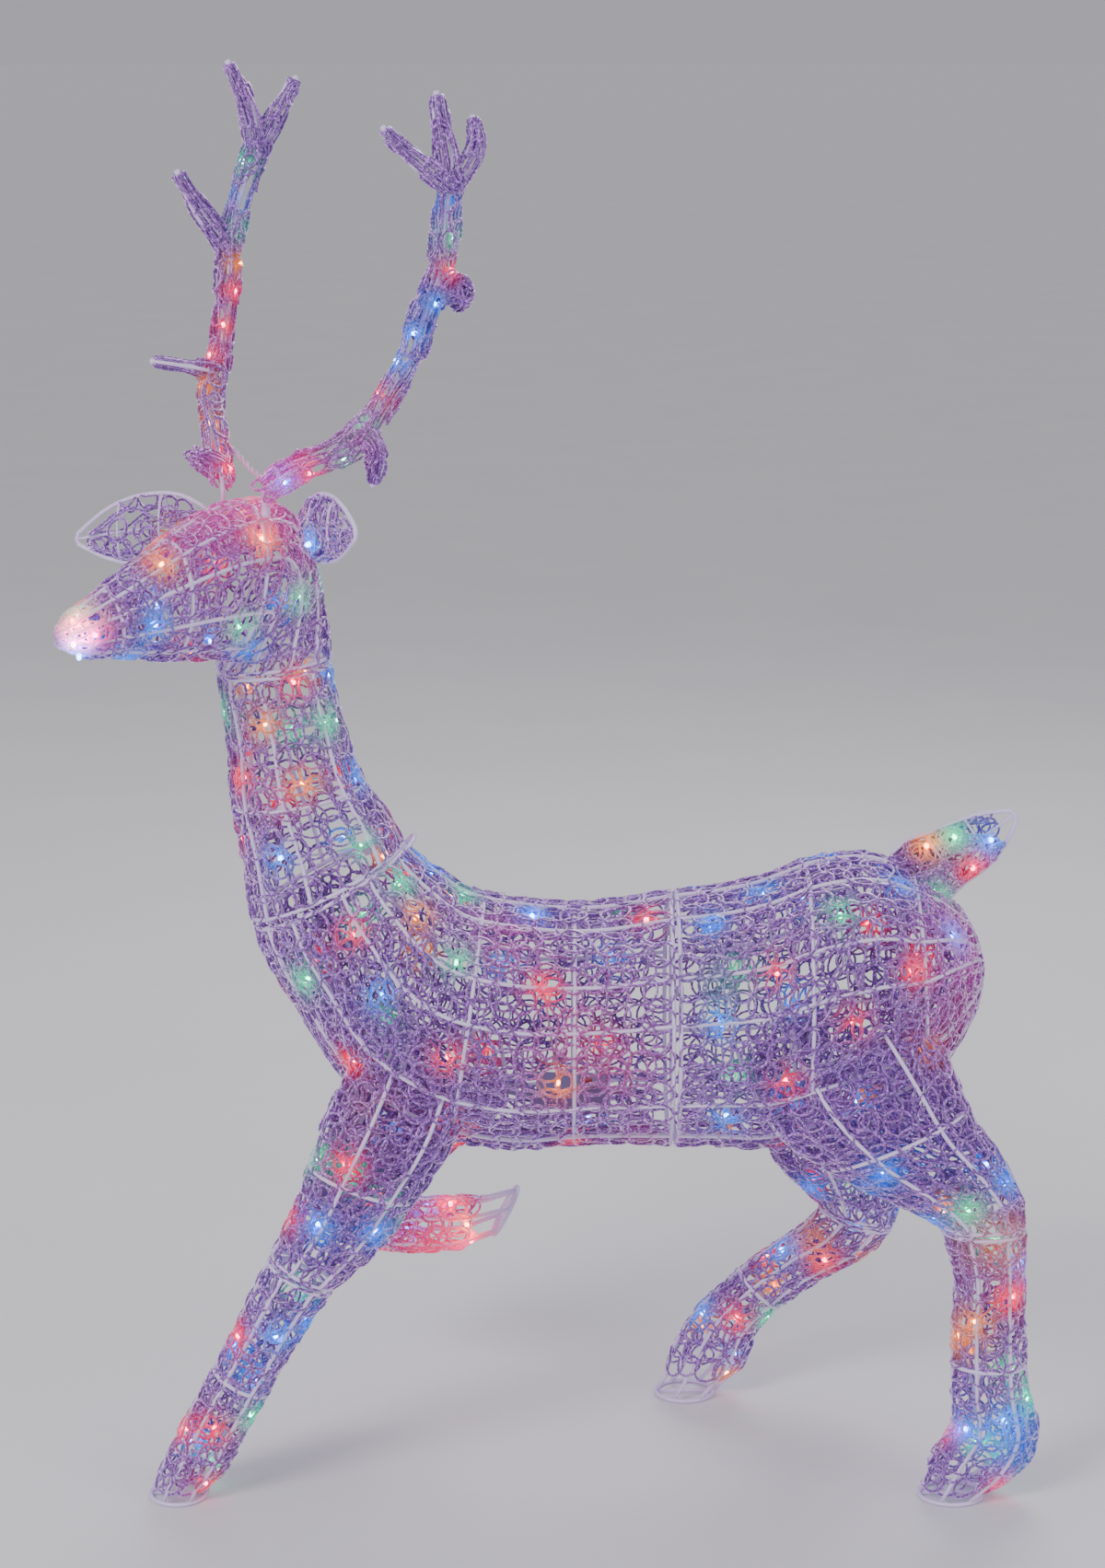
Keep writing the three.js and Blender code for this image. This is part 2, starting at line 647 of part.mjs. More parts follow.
lowerLeg("left_foreleg", LEFT_FORELEG, LEFT_FORE_HOOF, [12, 2.3, 0.12, 0.9, 0.3]);
lowerLeg("right_foreleg", RIGHT_FORELEG, RIGHT_FORE_HOOF, [10, 1.6, 0.16, 0.9, 0.3]);
lowerLeg("left_hindleg", LEFT_HINDLEG, LEFT_HIND_HOOF, [14, 2.3, 0.1, 0.9, 0.3]);
lowerLeg("right_hindleg", RIGHT_HINDLEG, RIGHT_HIND_HOOF, [12, 2.3, 0.1, 0.9, 0.3]);

// -- ears and tail: flat leaves on a loop of wire with a middle rib
function leaf(prefix, sts, { cut, lights } = {}) {
  const g = group(prefix);
  const n = 8;
  let net = skin(sts, n);
  if (cut) net = net.subtract(cut);
  add(prefix + "_net", net, NET, g);
  const edge = (phi) => sts.slice(0, -1).map((s) => onStation(s, phi, Math.min(WIRE_DEPTH, s[5] * 0.45)));
  const tip = sts[sts.length - 1];
  const tipC = V(tip[0], tip[1], tip[2]);
  const base = V(sts[0][0], sts[0][1], sts[0][2]);
  const up = edge(Math.PI / 2);
  const down = edge(-Math.PI / 2);
  const loop = [...up, tipC, ...down.reverse()];
  const parts = [wire(loop, WIRE_R * 0.85), wire([up[0], base, down[down.length - 1]], WIRE_R * 0.85), wire([base, ...sts.slice(1, -1).map((s) => V(s[0], s[1], s[2])), tipC], 1.2)];
  add(prefix + "_frame", cut ? weld(parts).subtract(cut) : weld(parts), WIRE, g);
  if (lights) add(prefix + "_light_string", string(lights), LIGHTS, g);
}
leaf("left_ear", LEFT_EAR);
leaf("right_ear", RIGHT_EAR);
{
  const rump = volume(BODY_REAR, NB, -1);
  const at = (i, f, d) => onStation(TAIL[i], Math.PI / 2, TAIL[i][5] * (1 - f)).addScaledVector(axes(TAIL[i]).L, d);
  leaf("tail", TAIL, {
    cut: rump,
    lights: [at(1, 0.45, 6), at(2, 0.55, 6), at(3, 0.05, 4), at(2, -0.55, 6)],
  });
}

// -- antlers: a wrapped tube of strands on a rod that plugs into a socket on the head
function taperTube(points, radii, n) {
  let up = V(0.31, 0.22, 0.1).normalize();
  const rows = points.map((p, i) => {
    const a = points[Math.max(0, i - 1)];
    const b = points[Math.min(points.length - 1, i + 1)];
    const t = b.clone().sub(a).normalize();
    up.addScaledVector(t, -up.dot(t)).normalize();
    const side = t.clone().cross(up);
    return Array.from({ length: n }, (_, k) => {
      const f = (2 * Math.PI * k) / n;
      return p.clone().addScaledVector(up, radii[i] * Math.cos(f)).addScaledVector(side, radii[i] * Math.sin(f));
    });
  });
  const first = points[0].clone();
  const last = points[points.length - 1].clone();
  return solid(surface([rows[0].map(() => first), ...rows, rows[0].map(() => last)], false));
}
function antler(prefix, spec, lean, lights) {
  const g = group(prefix);
  const beam = spec.beam.map((p) => V(...p));
  const base = V(...spec.base);
  const first = beam[0].clone();
  const outer = [taperTube([base.clone().add(V(0, 0, 4)), first, ...beam.slice(1)], [10, ...spec.beamR], 6)];
  const inner = [taperTube([base.clone().add(V(0, 0, -6)), first, ...beam.slice(1)], [10 - NET_THICKNESS, ...spec.beamR.map((r) => r - NET_THICKNESS)], 6)];
  const rods = [wire([V(base.x, base.y, SOCKET_TOP - 26), base, ...beam], WIRE_R, 3, 0.4)];
  for (const t of spec.tines) {
    const pts = t.map((p) => V(...p));
    const end = pts[pts.length - 1];
    const dir = end.clone().sub(pts[pts.length - 2]).normalize();
    const radii = pts.map((_, i) => (i === pts.length - 1 ? 4.5 : i ? 8 : 9.5));
    outer.push(taperTube(pts, radii, 5));
    inner.push(taperTube([...pts, end.clone().addScaledVector(dir, 3)], [...radii.map((r) => r - NET_THICKNESS), 3.1], 5));
    rods.push(wire([...pts, end.clone().addScaledVector(dir, 6)], WIRE_R * 0.85, 3, 0.2));
  }
  add(prefix + "_wrap", join(outer).subtract(join(inner)).simplify(WELD_TOLERANCE), NET, g);
  add(prefix + "_frame", weld(rods), WIRE, g);
  // The light string runs beside the rod.
  const path = lights.map((s) => {
    const k = Math.min(beam.length - 2, Math.floor(s));
    const t = beam[k + 1].clone().sub(beam[k]).normalize();
    const side = lean.clone().addScaledVector(t, -lean.dot(t)).normalize();
    return beam[k].clone().lerp(beam[k + 1], s - k).addScaledVector(side, 6.2);
  });
  add(prefix + "_light_string", string(path), LIGHTS, g);
}
antler("left_antler", LEFT_ANTLER, V(0.5, -0.8, 0), [0.5, 1.15, 1.8, 2.5, 3.2, 3.9, 4.6, 5.3, 6.0, 6.7, 7.4]);
antler("right_antler", RIGHT_ANTLER, V(1, 0.3, 0), [0.45, 1.05, 1.65, 2.25, 2.85, 3.45, 4.1, 4.75, 5.4, 6.0, 6.6]);

// -- link cable between the antlers, clipped to the head
{
  const pts = [V(-300, 62, 999), V(-293, 40, 993), V(-284, 12, 991), V(-277, -14, 996)];
  add("antler_link_cable", wire(pts, 1.5, 5, 0), LEAD);
}

// -- snap clips over the seam rings
const CLIPS = [
  ["body_seam_clip_left", BODY_FRONT[7], NB, 4],
  ["body_seam_clip_right", BODY_FRONT[7], NB, 0],
  ["neck_seam_clip_left", BODY_FRONT[0], NB, 4],
  ["neck_seam_clip_right", BODY_FRONT[0], NB, 0],
  ["left_foreleg_clip", LEFT_FORELEG[0], NL, 2],
  ["right_foreleg_clip", RIGHT_FORELEG[0], NL, 6],
  ["left_hindleg_clip", LEFT_HINDLEG[0], NL, 4],
  ["right_hindleg_clip", RIGHT_HINDLEG[0], NL, 6],
];
for (const [name, st, n, k] of CLIPS) add(name, seamClip(st, n, k), CLIP);

// -- controller inside the belly: open case, gasketed cover, mode button, supply lead
const CASE_SIZE = [72, 46, 24];
const CASE_AT = [20, 0, 371];
const WALL = 2;
const BUTTON_R = 5;
const BUTTON_TRAVEL = 1.5;
{
  const g = group("controller");
  g.position.set(...CASE_AT);
  const box = (w, d, h, x, y, z) => solid(new THREE.BoxGeometry(w, d, h).translate(x, y, z));
  const [w, d, h] = CASE_SIZE;
  // Two saddle feet straddle the belly wire.
  const feet = [-26, 26].flatMap((x) => [-3.9, 3.9].map((y) => box(6, 2.4, 22, x, y, -h / 2 - 10.5)));
  const shell = join([box(w, d, h, 0, 0, 0), ...feet]).subtract(box(w - 2 * WALL, d - 2 * WALL, h, 0, 0, WALL));
  add("controller_case", shell, CASE, g);
  const hole = solid(new THREE.CylinderGeometry(BUTTON_R + 0.4, BUTTON_R + 0.4, 10, 16).rotateX(Math.PI / 2).translate(14, 0, h / 2 + 1));
  const cover = join([
    box(w, d, WALL, 0, 0, h / 2 + 0.3 + WALL / 2),
    box(w - 2 * WALL - 1, d - 2 * WALL - 1, 3, 0, 0, h / 2 - 1),
  ]).subtract(join([hole, box(w - 4 * WALL, d - 4 * WALL, 4, 0, 0, h / 2 - 1.8)]));
  add("controller_cover", cover, CASE, g);
  const button = solid(
    new THREE.LatheGeometry(
      [[0, -4.2], [BUTTON_R + 2, -4.2], [BUTTON_R + 2, -2.8], [BUTTON_R, -2.8], [BUTTON_R, 1.6], [BUTTON_R - 1, 2.4], [0, 2.4]].map(([x, y]) => new THREE.Vector2(x, y)),
      16,
    )
      .rotateX(Math.PI / 2)
      .translate(14, 0, h / 2 + 0.3 + WALL),
  );
  add("mode_button", button, paint(0xd2473f, 0.4), g);
  const lead = wire(
    [V(-w / 2 - 0.4, 0, 0), V(-w / 2 - 14, 0, 0), V(-w / 2 - 30, 8, 1), V(-w / 2 - 36, 26, 4), V(-w / 2 - 24, 42, 6), V(-w / 2, 48, 6), V(-w / 2 + 22, 47, 5)],
    2.2,
    6,
    0,
  );
  const plug = solid(
    new THREE.LatheGeometry(
      [[0, 0], [4.4, 0], [5.2, 4], [7, 5], [7, 17], [5.4, 18], [5.4, 26], [0, 26]].map(([x, y]) => new THREE.Vector2(x, y)),
      10,
    )
      .rotateZ(-Math.PI / 2)
      .translate(-w / 2 + 20, 47, 5),
  );
  add("supply_lead", join([lead, plug]), LEAD, g);
}

export default root;
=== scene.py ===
import math

import bpy
import numpy as np
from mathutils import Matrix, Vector


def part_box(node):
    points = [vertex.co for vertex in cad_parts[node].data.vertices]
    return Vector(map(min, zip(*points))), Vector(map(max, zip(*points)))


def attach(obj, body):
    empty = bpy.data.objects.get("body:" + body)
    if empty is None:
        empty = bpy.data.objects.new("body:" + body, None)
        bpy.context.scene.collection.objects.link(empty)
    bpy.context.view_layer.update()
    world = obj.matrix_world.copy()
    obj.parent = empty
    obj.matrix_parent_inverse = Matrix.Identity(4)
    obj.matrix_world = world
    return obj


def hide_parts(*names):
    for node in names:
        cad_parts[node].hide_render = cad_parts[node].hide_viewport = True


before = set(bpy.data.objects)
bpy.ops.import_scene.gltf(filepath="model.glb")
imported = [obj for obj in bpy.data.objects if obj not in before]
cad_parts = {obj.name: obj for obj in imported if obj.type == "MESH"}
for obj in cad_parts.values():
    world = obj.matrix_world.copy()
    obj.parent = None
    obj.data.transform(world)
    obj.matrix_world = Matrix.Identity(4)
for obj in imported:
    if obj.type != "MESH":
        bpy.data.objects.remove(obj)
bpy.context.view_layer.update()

rng = np.random.default_rng(20)

# ------------------------------------------------------------------ the CAD's lofts, mm
OFF = np.array([-2.2937, -1.1258, 0.0])
HEAD_X, HEAD_YAW = -268.0, 46.0
BODY_FRONT = [[-218, 0, 589, 27, 86, 86], [-206, 0, 564, 36, 96, 92], [-186, 0, 536, 48, 110, 98], [-157, 0, 497, 64, 124, 114],
              [-109, 0, 463, 77, 132, 122], [-45, 0, 447, 87, 134, 125], [40, 0, 447, 90, 134, 120], [118, 0, 452, 90, 134, 127]]
BODY_REAR = [[118, 0, 452, 90, 134, 127], [160, 0, 454, 90, 134, 130], [205, 0, 458, 90, 135, 136], [255, 0, 473, 90, 134, 140],
             [313, 0, 487, 90, 124, 130], [357, 0, 492, 93, 105, 109], [393, 0, 508, 98, 78, 72], [412, 0, 512, 99, 44, 42], [420, 0, 513, 99, 19, 18]]
LEFT_SHOULDER = [[-130, -68, 429, -12, 38, 62], [-156, -101, 371, -15, 42, 64], [-181, -111, 324, -20, 37, 57], [-207, -116, 277, -26, 34, 48], [-242, -120, 231, -29.3, 31.5, 37]]
RIGHT_SHOULDER = [[-118, 68, 423, -15, 38, 72], [-128, 102, 355, -20, 40, 84], [-160, 112, 300, -25, 37, 66], [-205, 117, 253, -25, 33, 43]]
LEFT_THIGH = [[262, -66, 457, 30, 40, 92], [297, -98, 404, 28.6, 45, 92], [338, -109, 356, 23.5, 41, 74], [381, -115, 320, 17.4, 37, 60], [407, -118, 292, 7, 36, 48], [413, -120, 279, 0, 35, 43]]
RIGHT_THIGH = [[258, 66, 453, 26, 40, 92], [288, 100, 364, 20, 44, 90], [301, 110, 277, 16, 39, 73], [312, 117, 233, 8, 36, 52], [317, 120, 198, -17, 34, 42]]
NECK = [[-218, 0, 589, 27, 86, 86], [-228, 0, 629, 16, 78, 78], [-248.5, 0, 690, 9, 67, 66], [-256, 0, 738, 8.5, 60, 59], [-265, 0, 785, 6, 57, 57], [-267, 0, 804, 5, 56, 57]]
HEAD_LOCAL = [[1, 804, 5, 56, 57, 0], [-2, 841, 27, 57, 60, 16], [-11, 870, 47, 59, 73, 32], [-28, 890, 64, 59, 80, 43], [-58, 893, 80, 56, 77, 46],
              [-105, 888, 86, 48, 66, 46], [-158, 878, 90, 37, 49, 46], [-204, 870, 96, 28, 32.5, 46], [-238, 865, 98, 21, 21, 46], [-252, 863, 98, 11, 11, 46]]
HEAD = [[HEAD_X + x * math.cos(math.radians(y)), x * math.sin(math.radians(y)), z, t, w, h, y] for x, z, t, w, h, y in HEAD_LOCAL]
TAIL = [[362, 0, 601, 124, 9, 25], [384, 0, 613, 124, 15, 33], [407, 0, 627, 125, 15, 30], [431, 0, 644, 126, 11, 20], [448, 0, 657, 126, 5, 7]]
RIGHT_EAR = [[-329, 38, 934, 90, 9, 16, 160], [-355, 47, 932, 90, 14, 31, 160], [-392, 60, 927, 90, 14, 36, 160], [-432, 74, 920, 90, 10, 27, 160], [-465, 86, 913, 90, 4, 7, 160]]
LEFT_EAR = [[-235, -60, 945, 90, 9, 15, -61], [-223, -82, 949, 90, 14, 29, -61], [-206, -112, 953, 90, 15, 34, -61], [-189, -144, 956, 90, 11, 24, -61], [-176, -168, 957, 90, 4, 7, -61]]
LEFT_FORELEG = [[-242, -120, 231, -29.3, 31.5, 37], [-262, -120, 196, -29, 30, 34], [-292, -120, 141, -29, 28.5, 32], [-323, -120, 83, -28, 28.5, 32], [-349, -120, 34, -20, 29, 31], [-364, -120, 9, 0, 28, 28]]
RIGHT_FORELEG = [[-205, 117, 253, -25, 33, 43], [-216, 118, 222, 8, 32, 39], [-204, 118, 201, 48, 31, 34], [-172, 118, 191, 80, 30, 31], [-125, 118, 189, 88, 29, 31], [-86, 118, 192, 76, 28, 31], [-66, 118, 198, 66, 27, 29]]
LEFT_HINDLEG = [[413, -120, 279, 0, 35, 43], [420, -120, 237, 2, 32, 37], [422, -120, 171, 0, 30, 38], [425, -120, 114, -2, 29, 40], [430, -120, 67, -8, 29, 45], [413, -120, 34, -12, 29, 46], [395, -120, 8, -2, 28, 36]]
RIGHT_HINDLEG = [[317, 120, 198, -17, 34, 42], [298, 120, 175, -22, 32.5, 40], [252, 120, 146, -43, 31, 32], [212, 120, 114, -43, 30, 32], [183, 120, 81, -30, 29, 35], [165, 120, 45, -16, 29, 41], [146, 120, 9, 0, 28, 33]]
HOOVES = {"left_foreleg": [-366, -120, 2, 0, 27, 27], "left_hindleg": [390, -120, 2, 0, 27, 31], "right_hindleg": [139, 120, 2, 0, 27, 30], "right_foreleg": [-49, 118, 204, 62, 26, 28]}
LEFT_ANTLER = {
    "base": [-268, -43, 963],
    "beam": [[-268, -43, 979], [-236, -39, 999], [-190, -33, 1020], [-160, -29, 1054], [-134, -25, 1096], [-119, -23, 1139], [-103, -21, 1181], [-98, -20, 1224], [-94, -19, 1263]],
    "r": [12, 14, 14.5, 13, 12, 13.5, 13.5, 13, 14],
    "tines": [[[-95, -20, 1256], [-130, -37, 1286], [-152, -51, 1308]], [[-94, -19, 1260], [-101, -18, 1304], [-106, -18, 1338]], [[-95, -20, 1251], [-71, -3, 1289], [-74, 6, 1316]],
              [[-113, -22, 1155], [-93, -9, 1159], [-80, -3, 1149]], [[-178, -31, 1033], [-163, -44, 1012], [-167, -48, 986]]],
    "lobes": [([-88, -8, 1158], [21, 12, 30], 24, 11.0), ([-168, -42, 1004], [9, 8, 22], 9, 6.5)],
}
RIGHT_ANTLER = {
    "base": [-312, -4, 957],
    "beam": [[-312, -3, 979], [-322, 46, 1010], [-331, 94, 1049], [-324, 123, 1091], [-319, 144, 1143], [-316, 161, 1187], [-306, 168, 1236], [-286, 171, 1291]],
    "r": [11, 13, 12.5, 12.5, 12, 12, 12.5, 14],
    "tines": [[[-288, 171, 1282], [-299, 164, 1331], [-313, 156, 1365]], [[-287, 171, 1286], [-266, 181, 1323], [-252, 187, 1350]], [[-316, 161, 1186], [-343, 142, 1229], [-361, 126, 1262]],
              [[-327, 110, 1072], [-352, 100, 1079], [-384, 82, 1086]], [[-316, 14, 990], [-332, 14, 1001], [-342, 16, 1001]]],
    "lobes": [([-332, 14, 996], [13, 8, 12], 11, 6.0), ([-338, 108, 1076], [12, 8, 18], 10, 8.0)],
}


class Loft:
    """A smooth tube through stations. q runs 0 to 1 along it, phi round it."""

    def __init__(self, rows, sides):
        self.raw = np.array([list(r) + [0] * (7 - len(r)) for r in rows], float)
        self.sides = sides
        P = self.raw
        dc = np.linalg.norm(np.diff(P[:, :3], axis=0), axis=1)
        turn = 0.5 * P[:-1, 5] * np.radians(np.abs(np.diff(P[:, 3])) + np.abs(np.diff(P[:, 6])))
        d = np.sqrt(dc**2 + turn**2)
        self.u = np.concatenate([[0], np.cumsum(d)])
        self.L = self.u[-1]
        slope = np.diff(P, axis=0) / d[:, None]
        m = np.zeros_like(P)
        m[1:-1] = (slope[:-1] * d[1:, None] + slope[1:] * d[:-1, None]) / (d[1:] + d[:-1])[:, None]
        m[0], m[-1] = slope[0], slope[-1]
        self.P, self.m, self.d = P, m, d

    def at(self, q):
        x = np.clip(np.asarray(q, float), 0, 1) * self.L
        k = np.clip(np.searchsorted(self.u, x, side="right") - 1, 0, len(self.d) - 1)
        h = self.d[k]
        t = ((x - self.u[k]) / h)[:, None]
        h = h[:, None]
        return ((2 * t**3 - 3 * t**2 + 1) * self.P[k] + (t**3 - 2 * t**2 + t) * h * self.m[k]
                + (-2 * t**3 + 3 * t**2) * self.P[k + 1] + (t**3 - t**2) * h * self.m[k + 1])

    def axes(self, q):
        r = self.at(q)
        th, ya = np.radians(r[:, 3]), np.radians(r[:, 6])
        L = np.stack([-np.sin(ya), np.cos(ya), 0 * ya], 1)
        D = np.stack([np.cos(th) * np.cos(ya), np.cos(th) * np.sin(ya), np.sin(th)], 1)
        return r, L, D

    def S(self, q, phi, inset=0.0):
        q = np.atleast_1d(np.asarray(q, float))
        phi = np.broadcast_to(np.asarray(phi, float), q.shape)
        r, L, D = self.axes(q)
        w = np.maximum(r[:, 4] - inset, 0.5)
        h = np.maximum(r[:, 5] - inset, 0.5)
        return r[:, :3] + L * (w * np.cos(phi))[:, None] + D * (h * np.sin(phi))[:, None]

    def metric(self, q, phi):
        e = 2e-3
        a = (self.S(np.clip(q + e, 0, 1), phi) - self.S(np.clip(q - e, 0, 1), phi)) / (np.clip(q + e, 0, 1) - np.clip(q - e, 0, 1))[:, None]
        b = (self.S(q, phi + e) - self.S(q, phi - e)) / (2 * e)
        n = np.cross(a, b)
        n /= np.linalg.norm(n, axis=1)[:, None] + 1e-9
        r, _, _ = self.axes(q)
        out = np.sign(((self.S(q, phi) - r[:, :3]) * n).sum(1))
        return np.linalg.norm(a, axis=1), np.linalg.norm(b, axis=1), n * out[:, None]

    def inside(self, P, by=0.0):
        """True for points inside the tube by more than by mm."""
        qs = np.linspace(0, 1, 60)
        r, L, D = self.axes(qs)
        T = np.cross(L, D)
        hit = np.zeros(len(P), bool)
        v = P[:, None, :] - r[None, :, :3]
        t = np.abs((v * T[None]).sum(2))
        k = np.argmin(t + 0.02 * np.linalg.norm(v, axis=2), axis=1)
        i = np.arange(len(P))
        a = (v[i, k] * L[k]).sum(1) / np.maximum(r[k, 4] - by, 1)
        b = (v[i, k] * D[k]).sum(1) / np.maximum(r[k, 5] - by, 1)
        hit = (a * a + b * b < 1) & (t[i, k] < 8)
        return hit


LOFTS = {
    "front_body": Loft(BODY_FRONT, 12), "left_shoulder": Loft(LEFT_SHOULDER, 8), "right_shoulder": Loft(RIGHT_SHOULDER, 8),
    "rear_body": Loft(BODY_REAR, 12), "left_thigh": Loft(LEFT_THIGH, 8), "right_thigh": Loft(RIGHT_THIGH, 8),
    "neck": Loft(NECK, 12), "head": Loft(HEAD, 12),
    "left_foreleg": Loft(LEFT_FORELEG, 8), "right_foreleg": Loft(RIGHT_FORELEG, 8), "left_hindleg": Loft(LEFT_HINDLEG, 8), "right_hindleg": Loft(RIGHT_HINDLEG, 8),
    "left_ear": Loft(LEFT_EAR, 8), "right_ear": Loft(RIGHT_EAR, 8), "tail": Loft([[344, 0, 588, 124, 12, 34], [366, 0, 602, 124, 15, 38]] + TAIL[1:], 8),
}


# ------------------------------------------------------------------ lights
def helix(rows, n, count, turns, s0, s1, phi0, fine=1):
    """The CAD light string's path through a section, with fine points per light."""
    P = np.array([list(r) + [0] * (7 - len(r)) for r in rows], float)
    k = np.linspace(0, 1, (count - 1) * fine + 1)
    s = (s0 + (s1 - s0) * k) * (len(P) - 1)
    i = np.minimum(len(P) - 2, s.astype(int))
    t = (s - i)[:, None]
    st = P[i] * (1 - t) + P[i + 1] * t
    depth = 12.5 + np.maximum(st[:, 4], st[:, 5]) * (1 - math.cos(math.pi / n))
    phi = phi0 + 2 * math.pi * turns * k
    th, ya = np.radians(st[:, 3]), np.radians(st[:, 6])
    L = np.stack([-np.sin(ya), np.cos(ya), 0 * ya], 1)
    D = np.stack([np.cos(th) * np.cos(ya), np.cos(th) * np.sin(ya), np.sin(th)], 1)
    a, b = (st[:, 4] - depth) * np.cos(phi), (st[:, 5] - depth) * np.sin(phi)
    out = L * a[:, None] + D * b[:, None]
    return st[:, :3] + out, out / (np.linalg.norm(out, axis=1)[:, None] + 1e-9)


STRINGS = {
    "front_body": (BODY_FRONT, 12, 34, 4.2, 0.12, 0.95, 0.6), "left_shoulder": (LEFT_SHOULDER, 8, 8, 1.4, 0.42, 0.86, 3.6),
    "right_shoulder": (RIGHT_SHOULDER, 8, 7, 1.2, 0.45, 0.86, -0.6), "rear_body": (BODY_REAR, 12, 32, 4.2, 0.08, 0.73, 1.2),
    "left_thigh": (LEFT_THIGH, 8, 8, 1.3, 0.42, 0.82, 3.6), "right_thigh": (RIGHT_THIGH, 8, 8, 1.3, 0.4, 0.86, -0.6),
    "neck": (NECK, 12, 20, 3.4, 0.1, 0.9, 0.2), "head": (HEAD, 12, 18, 3.2, 0.12, 0.86, 0.5),
    "left_foreleg": (LEFT_FORELEG, 8, 12, 2.3, 0.12, 0.9, 0.3), "right_foreleg": (RIGHT_FORELEG, 8, 10, 1.6, 0.16, 0.9, 0.3),
    "left_hindleg": (LEFT_HINDLEG, 8, 14, 2.3, 0.1, 0.9, 0.3), "right_hindleg": (RIGHT_HINDLEG, 8, 12, 2.3, 0.1, 0.9, 0.3),
}
RED, AMBER, GREEN, BLUE, PINK, WHITE = (1.0, 0.01, 0.07), (1.0, 0.27, 0.0), (0.0, 0.78, 0.36), (0.0, 0.26, 1.0), (1.0, 0.05, 0.40), (1.0, 0.60, 0.88)
HUES = [RED, AMBER, GREEN, BLUE]
ORDER = rng.permutation([0] * 150 + [1] * 70 + [2] * 95 + [3] * 125)
lights = []  # position, outward direction, colour index, section
cables = {}
k_led = 0


def put_lights(name, path, outs, fine):
    global k_led
    cables[name] = path
    for i in range(0, len(path), fine):
        lights.append((path[i], outs[i], int(ORDER[k_led % len(ORDER)]), name))
        k_led += 1


for name, (rows, n, count, turns, s0, s1, phi0) in STRINGS.items():
    p, o = helix(rows, n, count, turns, s0, s1, phi0, fine=6)
    put_lights(name, p, o, 6)


def along(P, s):
    """Points on a polyline at fractional indices s, and its directions there."""
    P = np.array(P, float)
    s = np.atleast_1d(np.asarray(s, float))
    k = np.clip(s.astype(int), 0, len(P) - 2)
    t = (s - k)[:, None]
    d = P[k + 1] - P[k]
    return P[k] + d * t, d / np.linalg.norm(d, axis=1)[:, None]


def smooth(P, per=8, closed=False):
    """Catmull-Rom through the points."""
    P = np.array(P, float)
    n = len(P)
    idx = np.arange(n if closed else n - 1)
    get = (lambda i: P[i % n]) if closed else (lambda i: P[np.clip(i, 0, n - 1)])
    out = []
    for t in np.linspace(0, 1, per, endpoint=False):
        p0, p1, p2, p3 = get(idx - 1), get(idx), get(idx + 1), get(idx + 2)
        out.append(0.5 * (2 * p1 + (p2 - p0) * t + (2 * p0 - 5 * p1 + 4 * p2 - p3) * t * t + (3 * p1 - p0 - 3 * p2 + p3) * t**3))
    out = np.stack(out, 1).reshape(-1, 3)
    return out if closed else np.vstack([out, P[-1:]])


for name, spec, lean, s_at in (
    ("left_antler", LEFT_ANTLER, (0.5, -0.8, 0), [0.5, 1.15, 1.8, 2.5, 3.2, 3.9, 4.6, 5.3, 6.0, 6.7, 7.4]),
    ("right_antler", RIGHT_ANTLER, (1, 0.3, 0), [0.45, 1.05, 1.65, 2.25, 2.85, 3.45, 4.1, 4.75, 5.4, 6.0, 6.6]),
):
    s = np.interp(np.linspace(0, 10, 41), np.arange(11), s_at)
    p, t = along(spec["beam"], s)
    side = np.array(lean, float) - t * (t @ np.array(lean, float))[:, None]
    side /= np.linalg.norm(side, axis=1)[:, None]
    turn = np.linspace(0, 9, 41)
    other = np.cross(t, side)
    out = side * np.cos(turn)[:, None] + other * np.sin(turn)[:, None]
    path = p + side * 6.2
    cables[name] = path
    for i in range(0, 41, 4):
        lights.append((p[i] + out[i] * 1.5, out[i], int(ORDER[k_led % len(ORDER)]), name))
        k_led += 1
tail_loft = LOFTS["tail"]
tp = np.vstack([tail_loft.S([q], f, 9 + d)[0] for q, f, d in ((0.3, 2.0, 0), (0.52, 1.9, 4), (0.74, 3.4, 0), (0.5, 4.3, 2))])
cables["tail"] = smooth(tp, 4)
for i, p in enumerate(tp):
    lights.append((p, np.array([0, -1.0, 0]), [1, 2, 3, 0][i], "tail"))
for name, q, f in (("left_ear", 0.42, 3.6), ("right_ear", 0.3, 3.5)):
    p = LOFTS[name].S([q], f, 7)[0]
    lights.append((p, LOFTS[name].metric(np.array([q]), np.array([f]))[2][0], 3 if name == "left_ear" else 1, name))
# a cluster of lights in the nose
for q, f, c in ((0.93, 3.1, 4), (0.96, 2.2, 0), (0.955, 4.2, 3), (0.975, 3.4, 5)):
    lights.append((LOFTS["head"].S([q], f, 8)[0], LOFTS["head"].metric(np.array([q]), np.array([f]))[2][0], c, "head"))
LED_COL = HUES + [PINK, WHITE]

